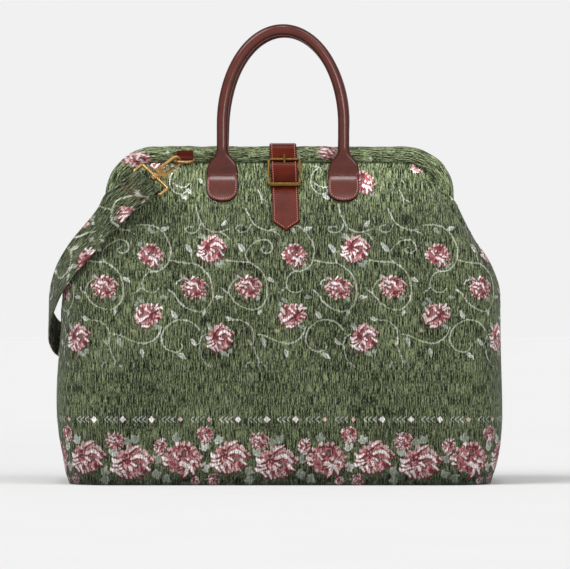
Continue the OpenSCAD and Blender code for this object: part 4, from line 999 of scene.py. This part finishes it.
# Closure strap
CLOSURE_W, CLOSURE_T, TIP_Z, POINT = 30.5, 2.6, 288.0, 11.0
BUCKLE_H, BUCKLE_BAR, BUCKLE_DEEP = 35.0, 3.0, 4.0
BUCKLE_TOP = np.array([RIM_Y + ROLL_R + 2.2, RIM_Z - 5])
BUCKLE_FOOT_Z = BUCKLE_TOP[1] - BUCKLE_H - 1
BUCKLE_FOOT = np.array([float(half_depth(BUCKLE_FOOT_Z)) + 0.6, BUCKLE_FOOT_Z])
BUCKLE_MID = (BUCKLE_TOP + BUCKLE_FOOT) / 2
BUCKLE_TILT = math.atan2(BUCKLE_FOOT[0] - BUCKLE_TOP[0], BUCKLE_TOP[1] - BUCKLE_FOOT[1])
BUCKLE_W = CLOSURE_W + 2 + 2 * BUCKLE_BAR
BAR_V = (BUCKLE_H - BUCKLE_BAR) / 2
BAR_W = CLOSURE_T + 2 * GAP + 0.1
CENTRE_W = BAR_W + BUCKLE_DEEP / 2 - 0.3
CHAPE_R = 1.4 + 0.2 + 1.4
OVER_W = CENTRE_W + CHAPE_R + GAP + CLOSURE_T / 2


def on_buckle(v, w):
    return [-BUCKLE_MID[0] + v * math.sin(BUCKLE_TILT) - w * math.cos(BUCKLE_TILT),
            BUCKLE_MID[1] + v * math.cos(BUCKLE_TILT) + w * math.sin(BUCKLE_TILT)]


def on_wall(z):
    return float(half_depth(z)) + (2 * GAP + CLOSURE_T / 2) / math.cos(SLOPE)


def closure_route():
    over = ROLL_R + GAP + CLOSURE_T / 2
    under = GAP + CLOSURE_T / 2
    back_z = CREASE_PANEL_Z - TAB_LEN
    return smooth([
        [on_wall(back_z), back_z], [on_wall(LIP_Z - 8), LIP_Z - 8], [on_wall(LIP_Z) + 1, LIP_Z + 5],
        [RIM_Y + over + 0.4, RIM_Z], [RIM_Y + over * 0.72, RIM_Z + over * 0.72], [RIM_Y, RIM_Z + over],
        [0, RIM_Z + over], [-RIM_Y, RIM_Z + over],
        [-RIM_Y - over * 0.72, RIM_Z + over * 0.72], [-RIM_Y - over - 0.6, RIM_Z],
        on_buckle(BAR_V, under), on_buckle(BAR_V - 3.2, under + 2.0), on_buckle(BAR_V - 6.2, OVER_W - 1.6),
        on_buckle(5.0, OVER_W - 0.2),
        on_buckle(0, OVER_W), on_buckle(-4.5, OVER_W - 1.2),
        on_buckle(-BAR_V + 5.5, under + 1.6), on_buckle(-BAR_V, under),
        [-on_wall(BUCKLE_FOOT_Z - 3) - 0.3, BUCKLE_FOOT_Z - 3],
        [-on_wall(BUCKLE_FOOT_Z - 13) - 0.3, BUCKLE_FOOT_Z - 13],
        [-on_wall(BUCKLE_FOOT_Z - 30) - 0.3, BUCKLE_FOOT_Z - 30],
        [-on_wall(TIP_Z) - 0.3, TIP_Z]
    ], 9)


def strip_frames(route):
    """Directions along and out of a strip that runs in the plane of Y and Z, from the back to the front."""
    t = unit(np.gradient(route, axis=0))
    along = np.c_[0 * t[:, 0], t]
    out = np.c_[0 * t[:, 0], -t[:, 1], t[:, 0]]
    return along, -out


# The strap drifts sideways from its sewn end to its tip
DRIFT_FROM, DRIFT_TO, POINT_LEN, CLOSURE_SEAM = -2.2, 2.0, POINT * 1.12, 2.2
route = closure_route()
d = lengths(route)
along, out = strip_frames(route)
middle_x = CLOSURE_X + DRIFT_FROM + (DRIFT_TO - DRIFT_FROM) * step(d, 0.3 * d[-1], d[-1])
across, over = power(np.cos(circle(44)), 9), power(np.sin(circle(44)), 5)
half = CLOSURE_W / 2 * np.clip((d[-1] - d) / POINT_LEN, 0.02, 1.0)
rings = np.c_[middle_x, route][:, None] + (CLOSURE_T / 2 * over)[:, None] * out[:, None]
rings[..., 0] += half[:, None] * across
edge_tint = np.tile(1 - 0.6 * step(np.abs(across), 0.93, 1.0), len(route))
pts, faces = tube(rings)
closure = piece("closure_leather", pts, faces, STRAP_LEATHER, tint=grey(edge_tint))
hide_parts("closure_strap")

threads = []
top = np.c_[middle_x, route] + out * (CLOSURE_T / 2)
keep = (d > 3.0) & (d < d[-1] - POINT_LEN - 0.5)
for sign in (-1, 1):
    line = top[keep] + [sign * (CLOSURE_W / 2 - CLOSURE_SEAM), 0, 0]
    end = top[-1] + [sign * 0.2, 0, 0] - along[-1] * 2.8
    line = np.vstack([line, line[-1] + (end - line[-1]) * np.linspace(0, 1, 8)[1:, None]])
    nor = np.vstack([out[keep], np.repeat(out[keep][-1:], 7, 0)])
    threads.append(stitches(line, nor, 2.0, 0.9, 0.44))
line = top[1] + np.outer(np.linspace(-12.6, 12.6, 12), [1, 0, 0])
threads.append(stitches(line, np.repeat(out[1:2], 12, 0), 2.2, 0.9, 0.36))
piece("closure_stitching", *join(threads), PALE_THREAD)


# Buckle frame with rounded bars, and its centre bar
def buckle_point(x, v, w):
    y, z = on_buckle(v, w)
    return [CLOSURE_X + x, y, z]


FOOT_BAR, PIN_R = 0.8, 1.4
mid_w, mid_h = BUCKLE_W - BUCKLE_BAR, BUCKLE_H - BUCKLE_BAR
loop = rounded_loop(mid_w, mid_h, 2.8, 8)
closed = np.vstack([loop[-1:], loop, loop[:1]])
tan = unit(closed[2:] - closed[:-2])
ang = circle(16)
rings = []
for (x, v), (tx, tv) in zip(loop, tan):
    more = FOOT_BAR * step(-v, mid_h / 2 - 3.0, mid_h / 2 - 0.3)
    ring = []
    for c, w in zip(power(np.cos(ang), 4.5), power(np.sin(ang), 4.5)):
        bar_x, bar_v = x + tv * BUCKLE_BAR / 2 * c, v + more - tx * (BUCKLE_BAR / 2 + more) * c
        ring.append(buckle_point(bar_x, bar_v, BAR_W + BUCKLE_DEEP / 2 * (1 + w)))
    rings.append(ring)
rings = np.array(rings)
n, m = rings.shape[:2]
frame_faces = [list(f) for f in quads(n, m, True)]
frame_faces += [[(n - 1) * m + j, j, (j + 1) % m, (n - 1) * m + (j + 1) % m] for j in range(m)]
bar = []
for x in np.linspace(-BUCKLE_W / 2 + 1.6, BUCKLE_W / 2 - 1.6, 12):
    bar.append([buckle_point(x, PIN_R * math.cos(a), CENTRE_W + PIN_R * math.sin(a)) for a in ang])
pts, faces = join([(rings.reshape(-1, 3), frame_faces), tube(bar)])
buckle = piece("buckle", pts, faces, BUCKLE_BRASS)
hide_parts("buckle_frame")

# Ring tabs
RING_RR, RING_TAB_T, RING_TAB_W, RING_X = 1.6, 2.4, 19.0, 109.0
LOOP_R = RING_RR + GAP + RING_TAB_T
RING_SEAT = math.radians(205)
RING_REACH = ROLL_R + GAP + LOOP_R + 0.4
RING_Y = RIM_Y - RING_REACH * math.cos(RING_SEAT)
RING_Z = RIM_Z + RING_REACH * math.sin(RING_SEAT)


def ring_tab(side):
    c = RING_REACH * np.array([math.cos(RING_SEAT), math.sin(RING_SEAT)])
    mid = ROLL_R + GAP + RING_TAB_T / 2
    bend = RING_RR + GAP / 2 + RING_TAB_T / 2
    line = [mid * np.array([math.cos(a), math.sin(a)]) for a in np.radians(np.linspace(160, 186, 8))]
    line += [c + bend * np.array([math.cos(a), math.sin(a)]) for a in np.radians(np.linspace(110, 345, 24))]
    line = smooth(line, 3)
    t = unit(np.gradient(line, axis=0))
    nor = np.c_[-t[:, 1], t[:, 0]]
    ang = circle(28)
    rings = []
    for (y, z), (ny, nz) in zip(line, nor):
        off = RING_TAB_T / 2 * 0.96 * power(np.sin(ang), 4)
        x = -side * RING_X + RING_TAB_W / 2 * power(np.cos(ang), 9)
        rings.append(np.c_[x, -RIM_Y + y + off * ny, RIM_Z + z + off * nz])
    return tube(rings)


for side, name in SIDES.items():
    pts, faces = ring_tab(side)
    tint = grey(np.full(len(pts), 0.75))
    ob = piece(f"{name}_ring_leather", pts * [1, side, 1], faces, STRAP_LEATHER, tint=tint)
    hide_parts(f"{name}_ring_tab")

# Shoulder strap
STRAP_W, STRAP_T = 40.0, 2.4
RING_R, RING_SIDE, RING_PITCH = 11.5, 6.0, math.radians(10)
HOOK_R, HOOK_LEN, HOOK_RR, HOOK_OFF = 5.5, 27.0, 2.0, 1.0
CATCH_LEN = HOOK_LEN + HOOK_R - HOOK_RR - RING_RR - 0.9
EYE_DROP, EYE_R, FOLD_LEN = 16.0, 1.8, 42.0
FOLD_R = EYE_R + GAP + STRAP_T / 2
STRAP_PLACES = [(-0.938, -1.214, 302), (-0.999, -0.972, 268), (-1.028, -0.702, 238), (-1.04, -0.389, 212),
    (-1.052, -0.045, 191), (-1.046, 0.327, 174), (-1.013, 0.671, 162), (-0.928, 0.959, 153),
    (-0.75, 1.084, 150), (-0.533, 1.103, 154), (-0.317, 1.097, 164), (-0.099, 1.09, 180),
    (0.099, 1.067, 201), (0.278, 1.077, 230), (0.425, 1.165, 264)]
STRAP_ROUTE = [(a * half_width(z), b * half_depth(z), z) for a, b, z in STRAP_PLACES]
STRAP_FACES = [
    (-0.4, -0.8, 0.4), (-0.6, -0.7, 0.3), (-0.8, -0.5, 0.2), (-0.95, -0.3, 0.1), (-1, 0, 0),
    (-0.95, 0.3, 0), (-0.85, 0.5, 0), (-0.5, 0.85, 0), (-0.1, 1, 0), (0, 1, 0),
    (0, 1, 0), (0, 1, 0.05), (0, 1, 0.2), (0, 0.9, 0.4), (0, 0.85, 0.5)]


def ring_point(face, a):
    v = RING_SIDE + RING_R * math.sin(a)
    return np.array([face * RING_X + RING_R * math.cos(a), face * (RING_Y + v * math.cos(RING_PITCH)),
                     RING_Z - v * math.sin(RING_PITCH)])


def ring_tangent(face, a):
    c = math.cos(a)
    return np.array([math.sin(a), -face * c * math.cos(RING_PITCH), c * math.sin(RING_PITCH)])


def face_normal(a, m):
    return -unit(m - (m @ a) * a)


def fold(face, bearing, axis):
    """Strap's end round the hook's eye: turned-back end, turn and start of the run, with outer faces."""
    a = unit(axis)
    at = math.radians(bearing)
    n_hook = face_normal(a, ring_tangent(face, at))
    origin = ring_point(face, at) - CATCH_LEN * a - HOOK_OFF * np.cross(n_hook, a)
    n = face_normal(a, np.array([0, face * math.cos(SLOPE), math.sin(SLOPE)]))
    q = origin - EYE_DROP * a
    pts, faces = [], []
    for f in (1, 0.85, 0.66, 0.5, 0.33, 0.2, 0.1):
        pts.append(q - f * FOLD_LEN * a + (FOLD_R + (STRAP_T + GAP - 2 * FOLD_R) * math.sqrt(f)) * n)
        faces.append(n)
    for c in np.radians(np.arange(0, 181, 15)):
        pts.append(q + FOLD_R * (math.cos(c) * n + math.sin(c) * a))
        faces.append(math.cos(c) * n + math.sin(c) * a)
    for f in (0.2, 0.4, 0.6, 0.8, 1):
        pts.append(q - f * FOLD_LEN * a - FOLD_R * n)
        faces.append(-n)
    return np.array(pts), np.array(faces)


first, first_faces = fold(-1, 150, (0.744, 0.324, 0.583))
final, final_faces = fold(1, 90, (-0.05, -0.55, 0.83))
run = smooth(np.vstack([first[-1:], STRAP_ROUTE, final[-1:]]), 12)
run_faces = smooth(np.vstack([first_faces[-1:], STRAP_FACES, final_faces[-1:]]), 12)
path = np.vstack([first[:-1], run, final[:-1][::-1]])
faces_dir = np.vstack([first_faces[:-1], run_faces, final_faces[:-1][::-1]])
d = lengths(path)
strap_len = d[-1]
s = np.linspace(0, strap_len, int(strap_len / 2.0))
path, faces_dir = resample(s, d, path), resample(s, d, faces_dir)
tan = unit(np.gradient(path, axis=0))
across = unit(np.cross(tan, faces_dir))
out = np.cross(across, tan)
COLS = 34
v = np.linspace(-1, 1, COLS)
prof_x = np.r_[v, v[::-1][1:-1]] * (STRAP_W / 2)
edge = np.sqrt(np.clip(1 - np.abs(v) ** 16, 0.02, 1))
prof_h = np.r_[edge, -edge[::-1][1:-1]] * (STRAP_T / 2)
hem = 0.35 * (np.abs(np.abs(prof_x) - STRAP_W / 2 + 4.0) < 0.9)
prof_h = prof_h - np.sign(prof_h) * hem
sag = 0.5 * np.sin(s / 23)[:, None] * np.cos(prof_x / 20)[None, :]
height = prof_h + 0.25 * sag
rings = path[:, None] + prof_x[:, None] * across[:, None] + height[..., None] * out[:, None]
pts, faces = tube(rings)
sv, xv = np.broadcast_arrays(s[:, None], prof_x)
# Where the strap is cut from the pattern, and the length after which it repeats
CUT_X, CUT_Z, CUT_LEN = 38, 318, 225
canvas = Canvas((CUT_X + xv / UNIT).ravel(), (CUT_Z - np.mod(sv, CUT_LEN) / UNIT).ravel(), 11)
canvas.vines()
woven = canvas.cover > 0
tint = np.c_[np.where(woven[:, None], canvas.rgb, 0.66 * GROUND), np.where(woven, 0.45, 1.0)]
weave = np.stack([xv, sv, 0 * xv], -1) * MM
strap = piece("shoulder_strap_cloth", pts, faces, CLOTH, tint=tint, weave=weave)
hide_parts("shoulder_strap")


def strap_row(at):
    """One row of stitches across the strap."""
    i = int(np.argmin(np.abs(s - at)))
    xs = np.linspace(-STRAP_W / 2 + 2.5, STRAP_W / 2 - 2.5, 14)
    line = path[i] + xs[:, None] * across[i] + out[i] * (STRAP_T / 2)
    return stitches(line, np.repeat(out[i:i + 1], 14, 0), 2.8, 0.6, 0.85)


SEWING = (FOLD_LEN + 26, FOLD_LEN + 34)
rows = [strap_row(at) for at in SEWING] + [strap_row(strap_len - at) for at in SEWING]
strap_sewing = piece("strap_stitching", *join(rows), BROWN_THREAD)

# Carried-over parts
for name, material in {
    "buckle_prong": BUCKLE_BRASS, "closure_chape": CHAPE_LEATHER, "base_board": BOARD,
    "front_frame": FRAME_STEEL_PAINTED_SHADE, "back_frame": FRAME_STEEL_PAINTED_SHADE,
    "left_hinge_rivet": STEEL, "right_hinge_rivet": STEEL,
    **{f"{f}_{p}": BRASS for f in SIDES.values() for p in ("ring", "hook_eye", "hook", "gate", "gate_pin")},
}.items():
    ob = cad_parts[name]
    ob.data.materials.clear()
    ob.data.materials.append(material)

# Floor, light and camera
BACKGROUND = float(srgb(241, 241, 241)[0])
FLOOR, FLOOR_Z, WORLD_LIGHT = 12.0, -0.0006, 0.32
me = bpy.data.meshes.new("floor")
corners = [(x * FLOOR, y * FLOOR, FLOOR_Z) for x, y in ((-1, -1), (1, -1), (1, 1), (-1, 1))]
me.from_pydata(corners, [], [(0, 1, 2, 3)])
floor = bpy.data.objects.new("floor", me)
scene.collection.objects.link(floor)
m, nt, bsdf = shader("floor")
speckle = noise(nt, place(nt), 4.0, (1, 1, 1), 2.0, 0.5)
tone = ramp(nt, speckle, [(0.3, 0.848), (0.7, 0.858)])
dress(nt, bsdf, Base_Color=tone, Roughness=0.9, Specular_IOR_Level=0.0)
me.materials.append(m)

world = bpy.data.worlds.new("studio")
scene.world = world
world.use_nodes = True
nt = world.node_tree
light = nt.nodes["Background"]
light.inputs["Color"].default_value = (1, 1, 1, 1)
light.inputs["Strength"].default_value = WORLD_LIGHT
plain = node(nt, "ShaderNodeBackground")
plain.inputs["Color"].default_value = (BACKGROUND, BACKGROUND, BACKGROUND, 1)
rays = nt.nodes.new("ShaderNodeLightPath")
seen = math_node(nt, "MAXIMUM", rays.outputs["Is Camera Ray"], rays.outputs["Is Glossy Ray"])
seen = math_node(nt, "MAXIMUM", seen, rays.outputs["Is Transmission Ray"])
mixer = nt.nodes.new("ShaderNodeMixShader")
nt.links.new(seen, mixer.inputs[0])
nt.links.new(light.outputs[0], mixer.inputs[1])
nt.links.new(plain.outputs[0], mixer.inputs[2])
nt.links.new(mixer.outputs[0], nt.nodes["World Output"].inputs["Surface"])


def sun(name, direction, strength, angle):
    data = bpy.data.lights.new(name, "SUN")
    data.energy = strength
    data.angle = math.radians(angle)
    ob = bpy.data.objects.new(name, data)
    ob.rotation_euler = Vector(direction).to_track_quat("-Z", "Y").to_euler()
    scene.collection.objects.link(ob)


sun("key_left", (0.54, 0.36, -0.76), 1.65, 34)
sun("key_right", (-0.54, 0.36, -0.76), 0.7, 34)
sun("front", (-0.37, 0.92, -0.1), 0.8, 18)
sun("top", (0.0, 0.24, -0.97), 0.42, 10)

PIXEL, PICTURE_W, SENSOR = 1.152 * MM, 570, 36.0
FAR, CAMERA_X, CAMERA_Z, AIM_Z = 6.0, 0.0058, 0.25, 0.2265
cam_data = bpy.data.cameras.new("camera")
cam_data.sensor_width = SENSOR
cam_data.lens = SENSOR * FAR / (PICTURE_W * PIXEL)
cam_data.clip_end = 60.0
camera = bpy.data.objects.new("camera", cam_data)
camera.location = (CAMERA_X, -FAR, CAMERA_Z)
look = Vector((CAMERA_X, 0.0, AIM_Z)) - camera.location
camera.rotation_euler = look.to_track_quat("-Z", "Y").to_euler()
scene.collection.objects.link(camera)
scene.camera = camera
scene.view_settings.view_transform = "Standard"
